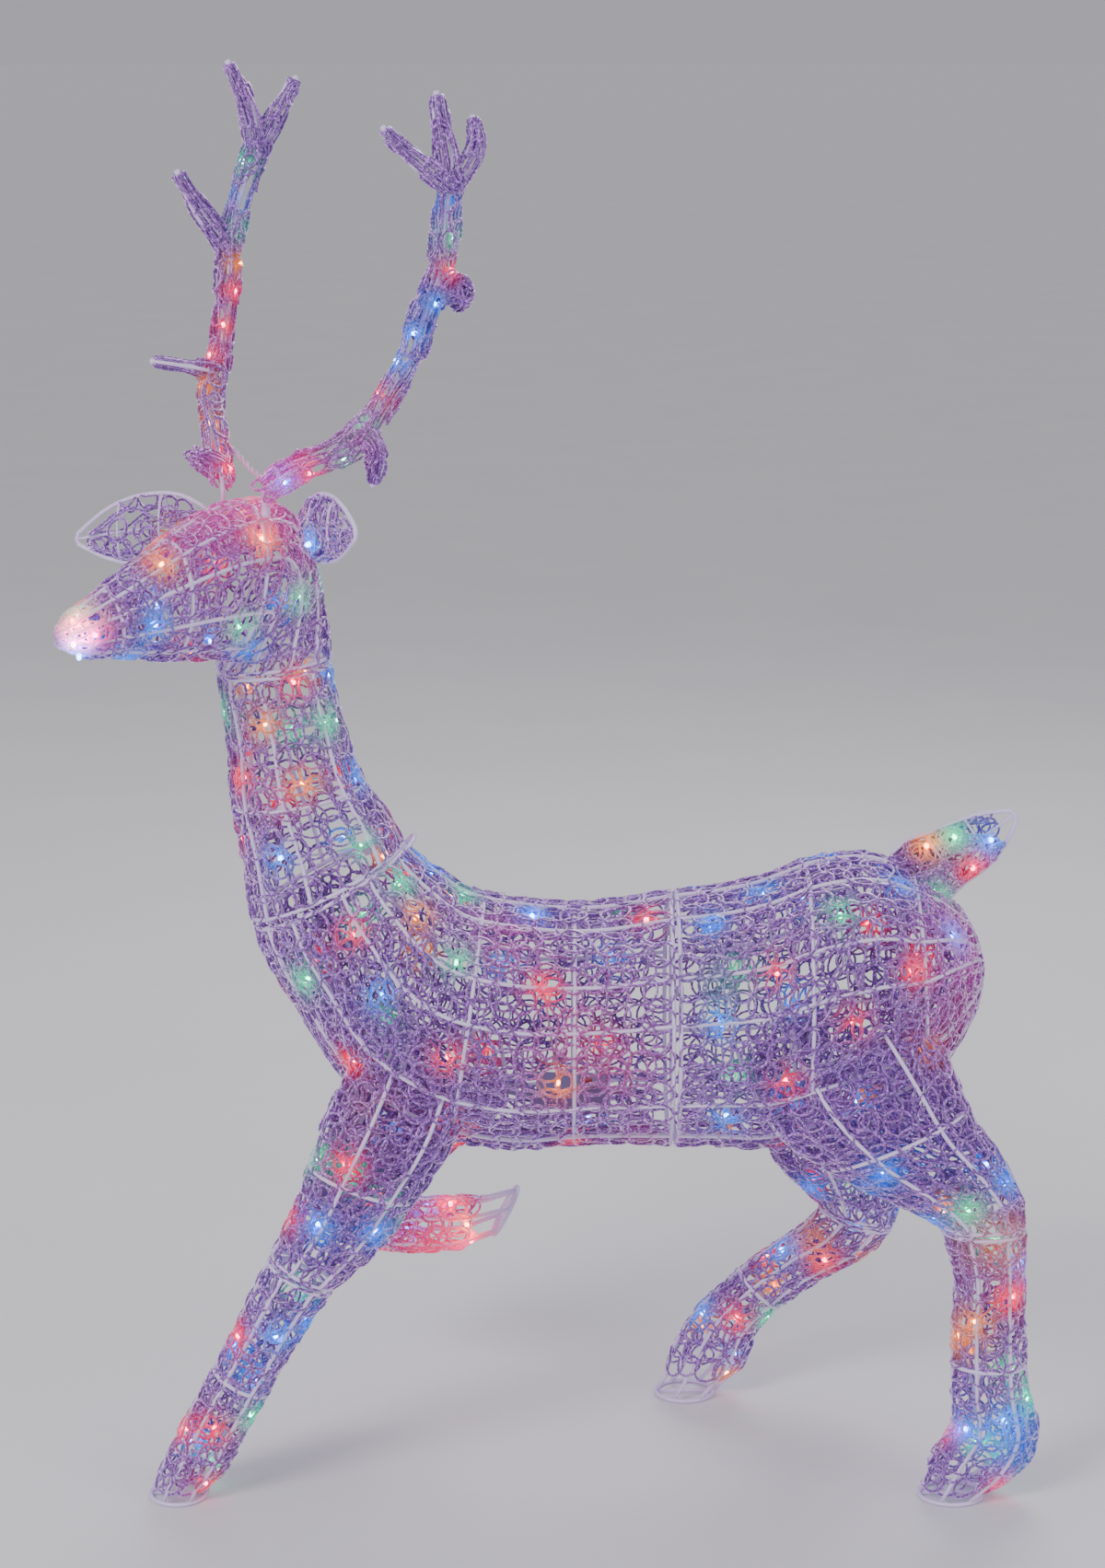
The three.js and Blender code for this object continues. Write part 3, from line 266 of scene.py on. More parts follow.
# painted light that fills part of a section, standing for strings bunched inside it; no lamp is placed there
head_lo, head_hi = [np.array(v) * 1000 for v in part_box("head_net")]
crown = np.array([HEAD_X - 30, -22, head_hi[2] - 10])
PAINTED_FILL_LIGHT = [
    (crown, PINK, 52, 1.0), (crown + (-45, -38, -35), PINK, 38, 0.7), (crown + (28, 8, -52), PINK, 34, 0.55),
    (np.array([-245, -42, 1000]), PINK, 30, 0.6), (np.array([-180, -32, 1030]), PINK, 24, 0.45),
    (LOFTS["head"].S([0.97], 3.2, 10)[0], WHITE, 11, 0.6), (LOFTS["head"].S([0.9], 2.4, 6)[0], PINK, 20, 0.5),
    (np.array([-125, 108, 172]), RED, 34, 1.7), (np.array([-85, 108, 188]), PINK, 26, 1.1),
    (np.array([440, -120, 62]), BLUE, 27, 1.7), (np.array([422, -130, 272]), AMBER, 24, 1.5), (np.array([440, -120, 225]), RED, 26, 0.5),
    (np.array([392, -50, 545]), PINK, 40, 0.6), (np.array([375, -70, 470]), RED, 34, 0.4),
    (np.array([20, -120, 470]), RED, 44, 0.55), (np.array([70, -120, 440]), RED, 26, 0.4), (np.array([90, -80, 345]), RED, 26, 0.4),
    (np.array([-255, -60, 690]), RED, 26, 0.45), (np.array([-40, -70, 560]), PINK, 34, 0.5), (np.array([160, -110, 515]), GREEN, 22, 0.5),
    (np.array([-190, -120, 330]), PINK, 26, 0.35), (np.array([-170, -115, 395]), AMBER, 22, 0.4), (np.array([270, 105, 180]), AMBER, 20, 1.0),
]
# painted light around each LED and fill spot: its centre, colour, spread and strength
GP = np.array([p + o * 5 for p, o, c, s in lights] + [f[0] for f in PAINTED_FILL_LIGHT])
GC = np.array([LED_COL[c] for p, o, c, s in lights] + [f[1] for f in PAINTED_FILL_LIGHT])
GS = np.array([9.0 if "antler" in s else 12.0 for p, o, c, s in lights] + [0.9 * f[2] for f in PAINTED_FILL_LIGHT])
GA = np.array([1.1 if "antler" in s else 1.35 for p, o, c, s in lights] + [0.62 * f[3] for f in PAINTED_FILL_LIGHT])


def painted_glow_at(V):
    """The coloured light of the lights near points V, painted onto them as a colour."""
    out = np.zeros((len(V), 3))
    for a in range(0, len(V), 20000):
        v = V[a:a + 20000]
        d2 = (v * v).sum(1)[:, None] + (GP * GP).sum(1)[None] - 2 * v @ GP.T
        out[a:a + 20000] = (GA * np.exp(-np.maximum(d2, 0) / (2 * GS * GS))) @ GC
    return out


# ------------------------------------------------------------------ meshes
class Build:
    """Collects tubes with varying radii into one mesh."""

    def __init__(self):
        self.v, self.f, self.mat, self.strips, self.n = [], [], [], [], 0

    def tubes(self, P, N, rad, K=4, closed=True, mat=0):
        P = np.asarray(P, float)
        if P.ndim == 2:
            P = P[None]
        R, M, _ = P.shape
        N = np.broadcast_to(np.asarray(N, float).reshape(R, -1, 3) if np.asarray(N).ndim == 3 else np.asarray(N, float).reshape(-1, 1, 3), (R, M, 3))
        rad = np.broadcast_to(np.asarray(rad, float), (R, M)).copy()
        if closed:
            T = np.roll(P, -1, 1) - np.roll(P, 1, 1)
        else:
            T = np.empty_like(P)
            T[:, 1:-1] = P[:, 2:] - P[:, :-2]
            T[:, 0], T[:, -1] = P[:, 1] - P[:, 0], P[:, -1] - P[:, -2]
        T /= np.linalg.norm(T, axis=2)[..., None] + 1e-9
        if not closed:
            P = np.concatenate([P[:, :1], P, P[:, -1:]], 1)
            T = np.concatenate([T[:, :1], T, T[:, -1:]], 1)
            N = np.concatenate([N[:, :1], N, N[:, -1:]], 1)
            rad = np.concatenate([rad[:, :1] * 0.05, rad, rad[:, -1:] * 0.05], 1)
            M += 2
        up = N - T * (N * T).sum(2)[..., None]
        up /= np.linalg.norm(up, axis=2)[..., None] + 1e-9
        side = np.cross(T, up)
        a = 2 * np.pi * (np.arange(K) + 0.5) / K
        V = P[:, :, None] + rad[:, :, None, None] * (np.cos(a)[:, None] * up[:, :, None] + np.sin(a)[:, None] * side[:, :, None])
        idx = self.n + np.arange(R * M * K).reshape(R, M, K)
        j1 = np.roll(idx, -1, 1) if closed else idx[:, 1:]
        j0 = idx if closed else idx[:, :-1]
        F = np.stack([j0, np.roll(j0, -1, 2), np.roll(j1, -1, 2), j1], -1).reshape(-1, 4)
        self.v.append(V.reshape(-1, 3))
        self.f.append(F)
        self.mat.append(np.full(len(F), mat))
        self.strips.append((R, j0.shape[1], K))
        self.n += R * M * K

    def lines(self, P, N=None, rad=2.0, K=8, mat=0):
        """One open tube on a turning frame of its own."""
        P = np.asarray(P, float)
        if N is None:
            T = np.gradient(P, axis=0)
            T /= np.linalg.norm(T, axis=1)[:, None] + 1e-9
            up = np.array([0.31, 0.52, 0.79])
            ups = []
            for t in T:
                up = up - t * (up @ t)
                up /= np.linalg.norm(up) + 1e-9
                ups.append(up)
            N = np.array(ups)[None]
        self.tubes(P[None], N, rad, K, closed=False, mat=mat)

    def make(self, name, body, mats, replaces=(), flat=False):
        V, F, mt = np.vstack(self.v), np.vstack(self.f), np.concatenate(self.mat)
        me = bpy.data.meshes.new(name)
        me.vertices.add(len(V))
        me.vertices.foreach_set("co", ((V + OFF) / 1000).astype(np.float32).ravel())
        me.loops.add(F.size)
        me.loops.foreach_set("vertex_index", F.astype(np.int32).ravel())
        me.polygons.add(len(F))
        me.polygons.foreach_set("loop_start", np.arange(0, F.size, 4, dtype=np.int32))
        me.polygons.foreach_set("use_smooth", np.full(len(F), not flat))
        for m in mats:
            me.materials.append(m)
        me.polygons.foreach_set("material_index", mt.astype(np.int32))
        me.update(calc_edges=True)
        # painted light of the nearby lamps, stored as the vertex colour glow
        g = painted_glow_at(V)
        col = me.color_attributes.new("glow", "FLOAT_COLOR", "POINT")
        col.data.foreach_set("color", np.concatenate([g, np.ones((len(g), 1))], 1).astype(np.float32).ravel())
        # strips side by side, one per tube
        area = sum(R * (M + 1) * (K + 1) for R, M, K in self.strips)
        W = math.ceil(math.sqrt(area) * 1.03)
        rows, y, uv = [], 0, []
        for R, M, K in self.strips:
            per = max(1, W // (M + 1))
            i = np.arange(R)
            ox, oy = (i % per) * (M + 1.0), y + (i // per) * (K + 1.0)
            y += math.ceil(R / per) * (K + 1)
            j, k = np.meshgrid(np.arange(M), np.arange(K), indexing="ij")
            c = np.stack([np.stack([j, k], -1), np.stack([j, k + 1], -1), np.stack([j + 1, k + 1], -1), np.stack([j + 1, k], -1)], 2).astype(float)
            o = np.stack([ox, oy], -1)[:, None, None, None]
            uv.append((c[None] + o + 0.5).reshape(-1, 2))
            W = max(W, M + 1)
        uv = np.vstack(uv)
        side = max(W + 1, y + 1)
        lay = me.uv_layers.new(name="OFBake")
        lay.data.foreach_set("uv", (uv / side).astype(np.float32).ravel())
        ob = bpy.data.objects.new(name, me)
        bpy.context.scene.collection.objects.link(ob)
        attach(ob, body)
        if replaces:
            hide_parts(*replaces)
        return ob


# ------------------------------------------------------------------ strand nets
STRAND = 1.5
RING = 15.2


def columns(loft, ncol, pitch, margin, sparse=0.55):
    qs = np.linspace(0, 1, 220)
    Q, F = [], []
    for j in range(ncol):
        f = 2 * np.pi * (j + 0.5) / ncol
        P = loft.S(qs, f)
        Ls = np.concatenate([[0], np.cumsum(np.linalg.norm(np.diff(P, axis=0), axis=1))])
        use = Ls[-1] - 2 * margin
        if use < 0:
            continue
        n = max(1, round(use / pitch) + 1)
        pos = margin + (use * np.arange(n) / (n - 1) if n > 1 else np.array([use / 2]))
        q = np.interp(pos, Ls, qs)
        _, b, _ = loft.metric(q, np.full(n, f))
        gap = b * 2 * np.pi / ncol / pitch
        keep = (gap > sparse) | (j % 2 == 0) & (gap > sparse / 2) | (j % 4 == 0)
        Q.append(q[keep])
        F.append(np.full(keep.sum(), f))
    return np.concatenate(Q), np.concatenate(F)


def scatter(loft, density, pitch, margin, want=None):
    """Random ring places over the skin, density rings to each pitch square."""
    n = 6000
    q, f = rng.uniform(0, 1, n), rng.uniform(0, 2 * np.pi, n)
    a, b, _ = loft.metric(q, f)
    w = a * b
    area = w.mean() * 2 * np.pi
    keep = rng.uniform(0, w.max(), n) < w
    q, f, a = q[keep], f[keep], a[keep]
    ok = (q * a > margin) & ((1 - q) * a > margin)
    if want is not None:
        ok &= want(q, f)
    share = len(q)
    q, f = q[ok], f[ok]
    m = min(len(q), int(density * area / pitch**2 * len(q) / share))
    return q[:m], f[:m]


def rings(loft, q, phi, r=RING, inset=3.0, M=16, jit=1.9, amp=1.3, tilt=0.0, seam=2.2):
    R = len(q)
    a, b, n = loft.metric(q, phi)
    q = q + rng.normal(0, jit, R) / a
    phi = phi + rng.normal(0, jit, R) / b
    rr = r * rng.uniform(0.88, 1.10, R)
    e = rng.normal(0, 0.05, R)
    rot = rng.uniform(0, 2 * np.pi, R)[:, None]
    t = 2 * np.pi * np.arange(M)[None] / M
    x, y = (rr * (1 + e))[:, None] * np.cos(t), (rr * (1 - e))[:, None] * np.sin(t)
    xr, yr = x * np.cos(rot) - y * np.sin(rot), x * np.sin(rot) + y * np.cos(rot)
    Q = q[:, None] + xr / a[:, None]
    lim = (seam / a)[:, None]
    Q = np.clip(Q, lim, 1 - lim)
    F = phi[:, None] + yr / b[:, None]
    ins = inset + amp * np.cos(2 * t + rng.uniform(0, 6.28, R)[:, None]) + rng.normal(0, 0.6, R)[:, None]
    if tilt:
        ins = ins + np.abs(rng.normal(0, tilt, R))[:, None] * (1 + np.cos(t + rng.uniform(0, 6.28, R)[:, None]))
    P = loft.S(Q.ravel(), F.ravel(), ins.ravel()).reshape(R, M, 3)
    return P, n


def cull(P, N, others, by):
    keep = np.ones(len(P), bool)
    mid = P.mean(1)
    for o in others:
        keep &= ~LOFTS[o].inside(mid, by)
    return P[keep], N[keep]


def net(b, name, ncol, others=(), by=9.0, r=RING, pitch=21.0, inset=3.0, M=16, dense=(), K=4, rad=STRAND, margin=None, jit=1.9, stop=1.0):
    loft = LOFTS[name]
    margin = r * 1.02 if margin is None else margin
    q, f = columns(loft, ncol, pitch, margin)
    f, q = f[q < stop], q[q < stop]
    P, N = cull(*rings(loft, q, f, r, inset, M, jit), others, by)
    b.tubes(P, N[:, None], rad, K)
    for density, depth, want in dense:
        q, f = scatter(loft, density, pitch, margin * 0.9, want)
        f, q = f[q < stop], q[q < stop]
        if not len(q):
            continue
        P, N = cull(*rings(loft, q, f, r * 0.97, depth, M, 2.0, 1.2, 2.2), others, by)
        if len(P):
            b.tubes(P, N[:, None], rad * 0.95, K)


def near(f, at, width):
    """True where phi is within width of at, degrees."""
    d = (np.degrees(f) - at + 180) % 360 - 180
    return np.abs(d) < width


# ------------------------------------------------------------------ wire cages
WIRE = 2.15


def frame_pts(loft, q, phi, inset):
    q = np.atleast_1d(np.asarray(q, float))
    phi = np.broadcast_to(np.asarray(phi, float), q.shape)
    P = loft.S(q, phi, inset)
    return P, loft.metric(q, phi)[2]


def hoop(b, loft, q, inset, rad=WIRE, n=56, K=8):
    f = np.linspace(0, 2 * np.pi, n, endpoint=False)
    P, N = frame_pts(loft, np.full(n, q), f, inset)
    b.tubes(P[None], N[None], rad, K, closed=True)


def stringer(b, loft, phi, inset, q0=0.0, q1=1.0, rad=WIRE, n=40, extra0=None, extra1=None):
    P, N = frame_pts(loft, np.linspace(q0, q1, n), np.radians(phi), inset)
    if extra0 is not None:
        P, N = np.vstack([extra0, P]), np.vstack([N[:1], N])
    if extra1 is not None:
        P, N = np.vstack([P, extra1]), np.vstack([N, N[-1:]])
    b.tubes(P[None], N[None], rad, 8, closed=False)


def welds(b, loft, qs, phis, inset):
    for q in qs:
        for f in phis:
            P, N = frame_pts(loft, [q], np.radians(f), inset + 0.6)
            _, L, D = loft.axes(np.array([q]))
            T = np.cross(L, D)[0]
            x = np.linspace(-1, 1, 5)
            b.tubes((P[0] + np.outer(x * 2.9, T))[None], N[None], (np.sqrt(np.maximum(1 - x**2, 0.02)) * 2.75)[None], 6, closed=False)


def seam_q(loft, mm, end):
    """q a given distance from one end."""
    f = np.linspace(0, 2 * np.pi, 24)
    a = loft.metric(np.full(24, 0.004 if end == 0 else 0.996), f)[0].mean()
    return mm / a if end == 0 else 1 - mm / a


def cage(name, body, b, hoops, phis, inset=3.9, seam0=True, seam1=True):
    loft = LOFTS[name]
    q0 = seam_q(loft, 3.4, 0) if seam0 else 0.02
    q1 = seam_q(loft, 3.4, 1) if seam1 else 0.985
    qs = ([q0] if seam0 else []) + list(hoops) + ([q1] if seam1 else [])
    for q in qs:
        hoop(b, loft, q, inset + 0.5)
    for f in phis:
        stringer(b, loft, f, inset, q0, q1)
    welds(b, loft, qs, phis, inset)
    return q0, q1


# ------------------------------------------------------------------ materials
def tree(name):
    m = bpy.data.materials.new(name)
    m.use_nodes = True
    nt = m.node_tree
    p = nt.nodes["Principled BSDF"]
    return m, nt, p


def node(nt, kind, **values):
    n = nt.nodes.new(kind)
    for k, v in values.items():
        if hasattr(n, k):
            setattr(n, k, v)
        else:
            n.inputs[k.replace("_", " ")].default_value = v
    return n


def mixer(nt, a, b, fac, blend="MIX"):
    m = nt.nodes.new("ShaderNodeMix")
    m.data_type = "RGBA"
    m.blend_type = blend
    for s, v in ((0, fac), (6, a), (7, b)):
        if hasattr(v, "default_value") or isinstance(v, bpy.types.NodeSocket):
            nt.links.new(v, m.inputs[s])
        else:
            m.inputs[s].default_value = v if s == 0 else (*v, 1)
    return m.outputs[2]


def ramp(nt, fac, stops):
    r = nt.nodes.new("ShaderNodeValToRGB")
    while len(r.color_ramp.elements) < len(stops):
        r.color_ramp.elements.new(0.5)
    for e, (x, c) in zip(r.color_ramp.elements, stops):
        e.position, e.color = x, (*c, 1)
    nt.links.new(fac, r.inputs[0])
    return r.outputs[0]


def maths(nt, op, a, b=0.0):
    m = nt.nodes.new("ShaderNodeMath")
    m.operation = op
    for i, v in enumerate((a, b)):
        if isinstance(v, bpy.types.NodeSocket):
            nt.links.new(v, m.inputs[i])
        else:
            m.inputs[i].default_value = v
    return m.outputs[0]


def lit(name, stops, tint, glow=1.0, rough=0.12, coat=0.6, trans=0.0, own=0.10, painted_glints=0.5, bump=0.25, bump_scale=420.0, metal=0.0):
    """A surface with painted shade and painted highlight by viewing angle, painted glints, and the painted light of
    the lamps near it, which it also gives off as a glow.
    """
    m, nt, p = tree(name)
    co = nt.nodes.new("ShaderNodeTexCoord").outputs["Object"]
    # painted shade and painted highlight: the colour stops run by viewing angle, from where the surface faces the
    # camera to its edges
    lw = node(nt, "ShaderNodeLayerWeight", Blend=0.32)
    base = ramp(nt, lw.outputs["Facing"], stops)
    big = node(nt, "ShaderNodeTexNoise", Scale=14.0, Detail=3.0)
    nt.links.new(co, big.inputs["Vector"])
    base = mixer(nt, base, tint, maths(nt, "MULTIPLY", big.outputs["Fac"], 0.55))
    fine = node(nt, "ShaderNodeTexNoise", Scale=bump_scale, Detail=2.0)
    nt.links.new(co, fine.inputs["Vector"])
    # painted glints: fine noise multiplies the colour by up to 3.4, with darker specks between them
    hot = ramp(nt, fine.outputs["Fac"], [(0.0, (0.25, 0.22, 0.38)), (0.46, (0.75, 0.70, 0.85)), (0.60, (1.9, 1.75, 2.0)), (0.75, (3.4, 3.2, 3.5))])
    base = mixer(nt, base, hot, painted_glints, "MULTIPLY")
    # painted light of the nearby lamps, read from the vertex colour and mixed into the colour
    g = node(nt, "ShaderNodeAttribute", attribute_name="glow")
    amount = nt.nodes.new("ShaderNodeSeparateColor")
    nt.links.new(g.outputs["Color"], amount.inputs[0])
    top = maths(nt, "MAXIMUM", maths(nt, "MAXIMUM", amount.outputs[0], amount.outputs[1]), amount.outputs[2])
    fac = maths(nt, "MINIMUM", maths(nt, "MULTIPLY", top, 0.8 * glow), 0.7)
    base = mixer(nt, base, g.outputs["Color"], fac)
    nt.links.new(base, p.inputs["Base Color"])
    # the surface glows with the painted lamp light and a share of its painted colour, though it is no lamp
    em = mixer(nt, g.outputs["Color"], base, own)
    em = mixer(nt, em, hot, 0.6 * painted_glints, "MULTIPLY")
    nt.links.new(em, p.inputs["Emission Color"])
    p.inputs["Emission Strength"].default_value = 0.42 * glow
    p.inputs["Roughness"].default_value = rough
    p.inputs["Metallic"].default_value = metal
    p.inputs["IOR"].default_value = 1.49
    p.inputs["Coat Weight"].default_value = coat
    p.inputs["Coat Roughness"].default_value = 0.05
    p.inputs["Transmission Weight"].default_value = trans
    bp = node(nt, "ShaderNodeBump", Strength=bump, Distance=0.0006)
    nt.links.new(fine.outputs["Fac"], bp.inputs["Height"])
    nt.links.new(bp.outputs[0], p.inputs["Normal"])
    return m


# painted shade and painted highlight by viewing angle: dark violet where a strand faces the camera, near white at its
# edges
VIOLET_PAINTED_SHADING = [(0.0, (0.085, 0.03, 0.25)), (0.30, (0.20, 0.09, 0.43)), (0.52, (0.62, 0.42, 0.84)), (0.76, (1.0, 0.88, 1.0))]
ACRYLIC = lit("clear_acrylic_strand", VIOLET_PAINTED_SHADING, (0.50, 0.20, 0.50), glow=1.0, rough=0.10, coat=0.9, painted_glints=0.9)
# painted shade by viewing angle: wire and twisted cable lighter facing the camera and darker at the edges, sheath and
# holder darker facing the camera and lighter at the edges
WIREMAT = lit("coated_wire", [(0.0, (0.74, 0.65, 0.91)), (0.6, (0.58, 0.48, 0.82)), (1.0, (0.34, 0.26, 0.62))], (0.80, 0.62, 0.88), glow=0.5, rough=0.34, coat=0.3, own=0.5, painted_glints=0.06, bump=0.3, bump_scale=900.0)
SHEATH = lit("clear_cable_sheath", [(0.0, (0.50, 0.44, 0.66)), (1.0, (0.88, 0.84, 0.97))], (0.7, 0.6, 0.8), glow=0.8, rough=0.25, coat=0.3, painted_glints=0.2)
HOLDER = lit("moulded_led_holder", [(0.0, (0.62, 0.57, 0.74)), (1.0, (0.92, 0.9, 0.98))], (0.8, 0.75, 0.85), glow=1.1, rough=0.3, coat=0.2, painted_glints=0.2)
LINK = lit("pale_twisted_cable", [(0.0, (0.74, 0.60, 0.80)), (1.0, (0.52, 0.36, 0.66))], (0.82, 0.56, 0.74), glow=0.7, rough=0.4, coat=0.1, painted_glints=0.15)


def led(name, colour, strength=13.0):
    m, nt, p = tree(name)
    lw = node(nt, "ShaderNodeLayerWeight", Blend=0.45)
    hot = tuple(0.30 + 0.70 * c for c in colour)
    c = ramp(nt, lw.outputs["Facing"], [(0.0, hot), (0.25, tuple(0.05 + 0.95 * c for c in colour)), (0.6, colour)])
    co = nt.nodes.new("ShaderNodeTexCoord").outputs["Object"]
    n = node(nt, "ShaderNodeTexNoise", Scale=300.0)
    nt.links.new(co, n.inputs["Vector"])
    c2 = mixer(nt, c, tuple(min(1, 0.12 + x) for x in colour), maths(nt, "MULTIPLY", n.outputs["Fac"], 0.35))
    nt.links.new(c2, p.inputs["Base Color"])
    nt.links.new(c2, p.inputs["Emission Color"])
    p.inputs["Emission Strength"].default_value = strength
    p.inputs["Roughness"].default_value = 0.15
    return m


LED_MATS = [led("led_red", RED), led("led_amber", AMBER), led("led_green", GREEN), led("led_blue", BLUE, 17.0), led("led_pink", PINK), led("led_white", WHITE, 12.0)]


def moulded(name, colour, rough=0.5, scale=600.0, wear=0.12):
    m, nt, p = tree(name)
    co = nt.nodes.new("ShaderNodeTexCoord").outputs["Object"]
    a = node(nt, "ShaderNodeTexNoise", Scale=scale, Detail=3.0)
    b = node(nt, "ShaderNodeTexNoise", Scale=30.0, Detail=4.0)
    nt.links.new(co, a.inputs["Vector"])
    nt.links.new(co, b.inputs["Vector"])
    c = mixer(nt, colour, tuple(x * 0.72 for x in colour), maths(nt, "MULTIPLY", b.outputs["Fac"], wear * 4))
    nt.links.new(c, p.inputs["Base Color"])
    nt.links.new(maths(nt, "ADD", maths(nt, "MULTIPLY", b.outputs["Fac"], 0.2), rough - 0.1), p.inputs["Roughness"])
    bp = node(nt, "ShaderNodeBump", Strength=0.35, Distance=0.0004)
    nt.links.new(a.outputs["Fac"], bp.inputs["Height"])
    nt.links.new(bp.outputs[0], p.inputs["Normal"])
    return m


# ------------------------------------------------------------------ sections
def light_set(name, body, sections, replaces):
    b = Build()
    for s in sections:
        if s in cables:
            P = cables[s]
            b.lines(smooth(P[::2] if len(P) > 20 else P, 3), rad=1.1, K=5, mat=0)
    for p, o, c, s in lights:
        if s not in sections:
            continue
        x = np.array([-2.0, 0.5, 3.0, 6.0, 6.4])
        b.tubes((p + np.outer(x, o))[None], np.array([[0.37, 0.61, 0.7]]), np.array([[1.5, 2.9, 3.1, 2.9, 2.6]]), 8, closed=False, mat=1)
        x = np.array([6.2, 9.0, 10.6, 11.6])
        b.tubes((p + np.outer(x, o))[None], np.array([[0.37, 0.61, 0.7]]), np.array([[2.5, 2.5, 2.0, 1.0]]), 8, closed=False, mat=2 + c)
    return b.make(name, body, [SHEATH, HOLDER] + LED_MATS, replaces)


BACK, BELLY = 90, 270
BODY_PHI = [90, 113, 145, 166, 205, 230, 270, 310, 335, 14, 35, 67]

# front half of the body
b = Build()
net(b, "front_body", 37, jit=2.7, others=("left_shoulder", "right_shoulder"), by=12,
    dense=[(0.55, 6.0, lambda q, f: near(f, BACK, 26)), (0.8, 6.0, lambda q, f: near(f, BELLY, 30)), (0.9, 6.0, lambda q, f: (q < 0.5) & near(f, BELLY, 75)), (0.50, 7.5, None)])
b.make("front_body_strand_net", "front_body", [ACRYLIC], ("front_body_net",))
b = Build()
for s in ("left_shoulder", "right_shoulder"):
    net(b, s, 14, others=("front_body",), by=10, dense=[(1.0, 6.5, None), (0.7, 9.5, lambda q, f: q < 0.75)])
b.make("shoulder_strand_net", "front_body", [ACRYLIC])
b = Build()
cage("front_body", "front_body", b, [0.50, 0.76], BODY_PHI)
for s in ("left_shoulder", "right_shoulder"):
    cage(s, "front_body", b, [0.55], [90, 145, 200, 270, 335] if s[0] == "l" else [90, 35, 340, 270, 200], seam0=False)
hook_q = seam_q(LOFTS["front_body"], 4.0, 0)
hp, hn = frame_pts(LOFTS["front_body"], [hook_q, hook_q], np.radians([80.0, 100.0]), 3.0)
b.lines(smooth([hp[0], hp[0] + hn[0] * 10, (hp[0] + hp[1]) / 2 + hn[0] * 14, hp[1] + hn[1] * 10, hp[1]], 6), rad=WIRE)
b.make("front_body_wire_cage", "front_body", [WIREMAT], ("front_body_frame",))
light_set("front_body_leds", "front_body", ("front_body", "left_shoulder", "right_shoulder"), ("front_body_light_string", "left_shoulder_light_string", "right_shoulder_light_string"))

# rear half of the body
b = Build()
net(b, "rear_body", 37, jit=2.9, others=("left_thigh", "right_thigh"), by=12,
    dense=[(0.8, 6.0, lambda q, f: near(f, BACK, 30)), (0.6, 6.0, lambda q, f: near(f, BELLY, 30)), (0.7, 6.0, lambda q, f: q > 0.7), (0.50, 7.5, None)])
b.make("rear_body_strand_net", "rear_body", [ACRYLIC], ("rear_body_net",))
b = Build()
for s in ("left_thigh", "right_thigh"):
    net(b, s, 16, others=("rear_body",), by=10, dense=[(1.0, 6.5, None), (0.7, 9.5, lambda q, f: q < 0.7)])
b.make("thigh_strand_net", "rear_body", [ACRYLIC])
b = Build()
cage("rear_body", "rear_body", b, [0.42, 0.78], BODY_PHI, seam1=False)
for s in ("left_thigh", "right_thigh"):
    cage(s, "rear_body", b, [0.5], [90, 145, 200, 270, 335] if s[0] == "l" else [90, 35, 340, 270, 200], seam0=False)
b.make("rear_body_wire_cage", "rear_body", [WIREMAT], ("rear_body_frame",))
light_set("rear_body_leds", "rear_body", ("rear_body", "left_thigh", "right_thigh"), ("rear_body_light_string", "left_thigh_light_string", "right_thigh_light_string"))

# neck and head
b = Build()
net(b, "neck", 20, dense=[(0.5, 6.0, lambda q, f: near(f, BACK, 40)), (0.45, 6.5, lambda q, f: near(f, BELLY, 55))])
b.make("neck_strand_net", "neck_and_head", [ACRYLIC], ("neck_net",))
b = Build()
net(b, "head", 17, r=14.0, pitch=19.5, dense=[(0.6, 5.5, lambda q, f: q > 0.8), (0.7, 6.0, lambda q, f: near(f, BACK, 60) & (q < 0.65)), (0.25, 7.0, None)])
L = LOFTS["head"]
cap_q = np.array([0.992, 0.992, 0.985])
for q, f0, r in ((0.99, 0, 8), (0.97, 2, 10), (0.95, 4, 12)):
    rr, La, Da = L.axes(np.array([q]))
    t = np.linspace(0, 2 * np.pi, 14, endpoint=False)
    P = rr[0, :3] + np.outer(r * np.cos(t) * rr[0, 4] / 21, La[0]) + np.outer(r * np.sin(t) * rr[0, 5] / 21, Da[0])
    b.tubes(P[None], np.cross(La, Da)[:, None], STRAND, 4)
b.make("head_strand_net", "neck_and_head", [ACRYLIC], ("head_net",))
b = Build()
cage("neck", "neck_and_head", b, [0.42], [90, 132, 188, 228, 270, 312, 352, 48])
cage("head", "neck_and_head", b, [0.40, 0.63, 0.84], [90, 128, 160, 200, 235, 270, 305, 340, 20, 52], seam1=False)
hoop(b, L, 0.982, 4.0, n=24)
for base in (LEFT_ANTLER["base"], RIGHT_ANTLER["base"]):
    z = np.array([-33.0, -30, -10, 0])
    P = np.array([[base[0], base[1], 963 + d] for d in z])
    b.tubes(P[None], np.array([[1.0, 0, 0]]), np.array([[3.2, 4.5, 4.5, 4.5]]), 12, closed=False)
bar = [L.S([0.46], 0.1, 6)[0], [RIGHT_ANTLER["base"][0], RIGHT_ANTLER["base"][1], 930], [LEFT_ANTLER["base"][0], LEFT_ANTLER["base"][1], 930], L.S([0.42], math.pi - 0.1, 6)[0]]
b.lines(smooth(bar, 6), rad=2.0)
b.make("neck_and_head_wire_cage", "neck_and_head", [WIREMAT], ("neck_frame", "head_frame"))
light_set("neck_and_head_leds", "neck_and_head", ("neck", "head"), ("neck_light_string", "head_light_string"))

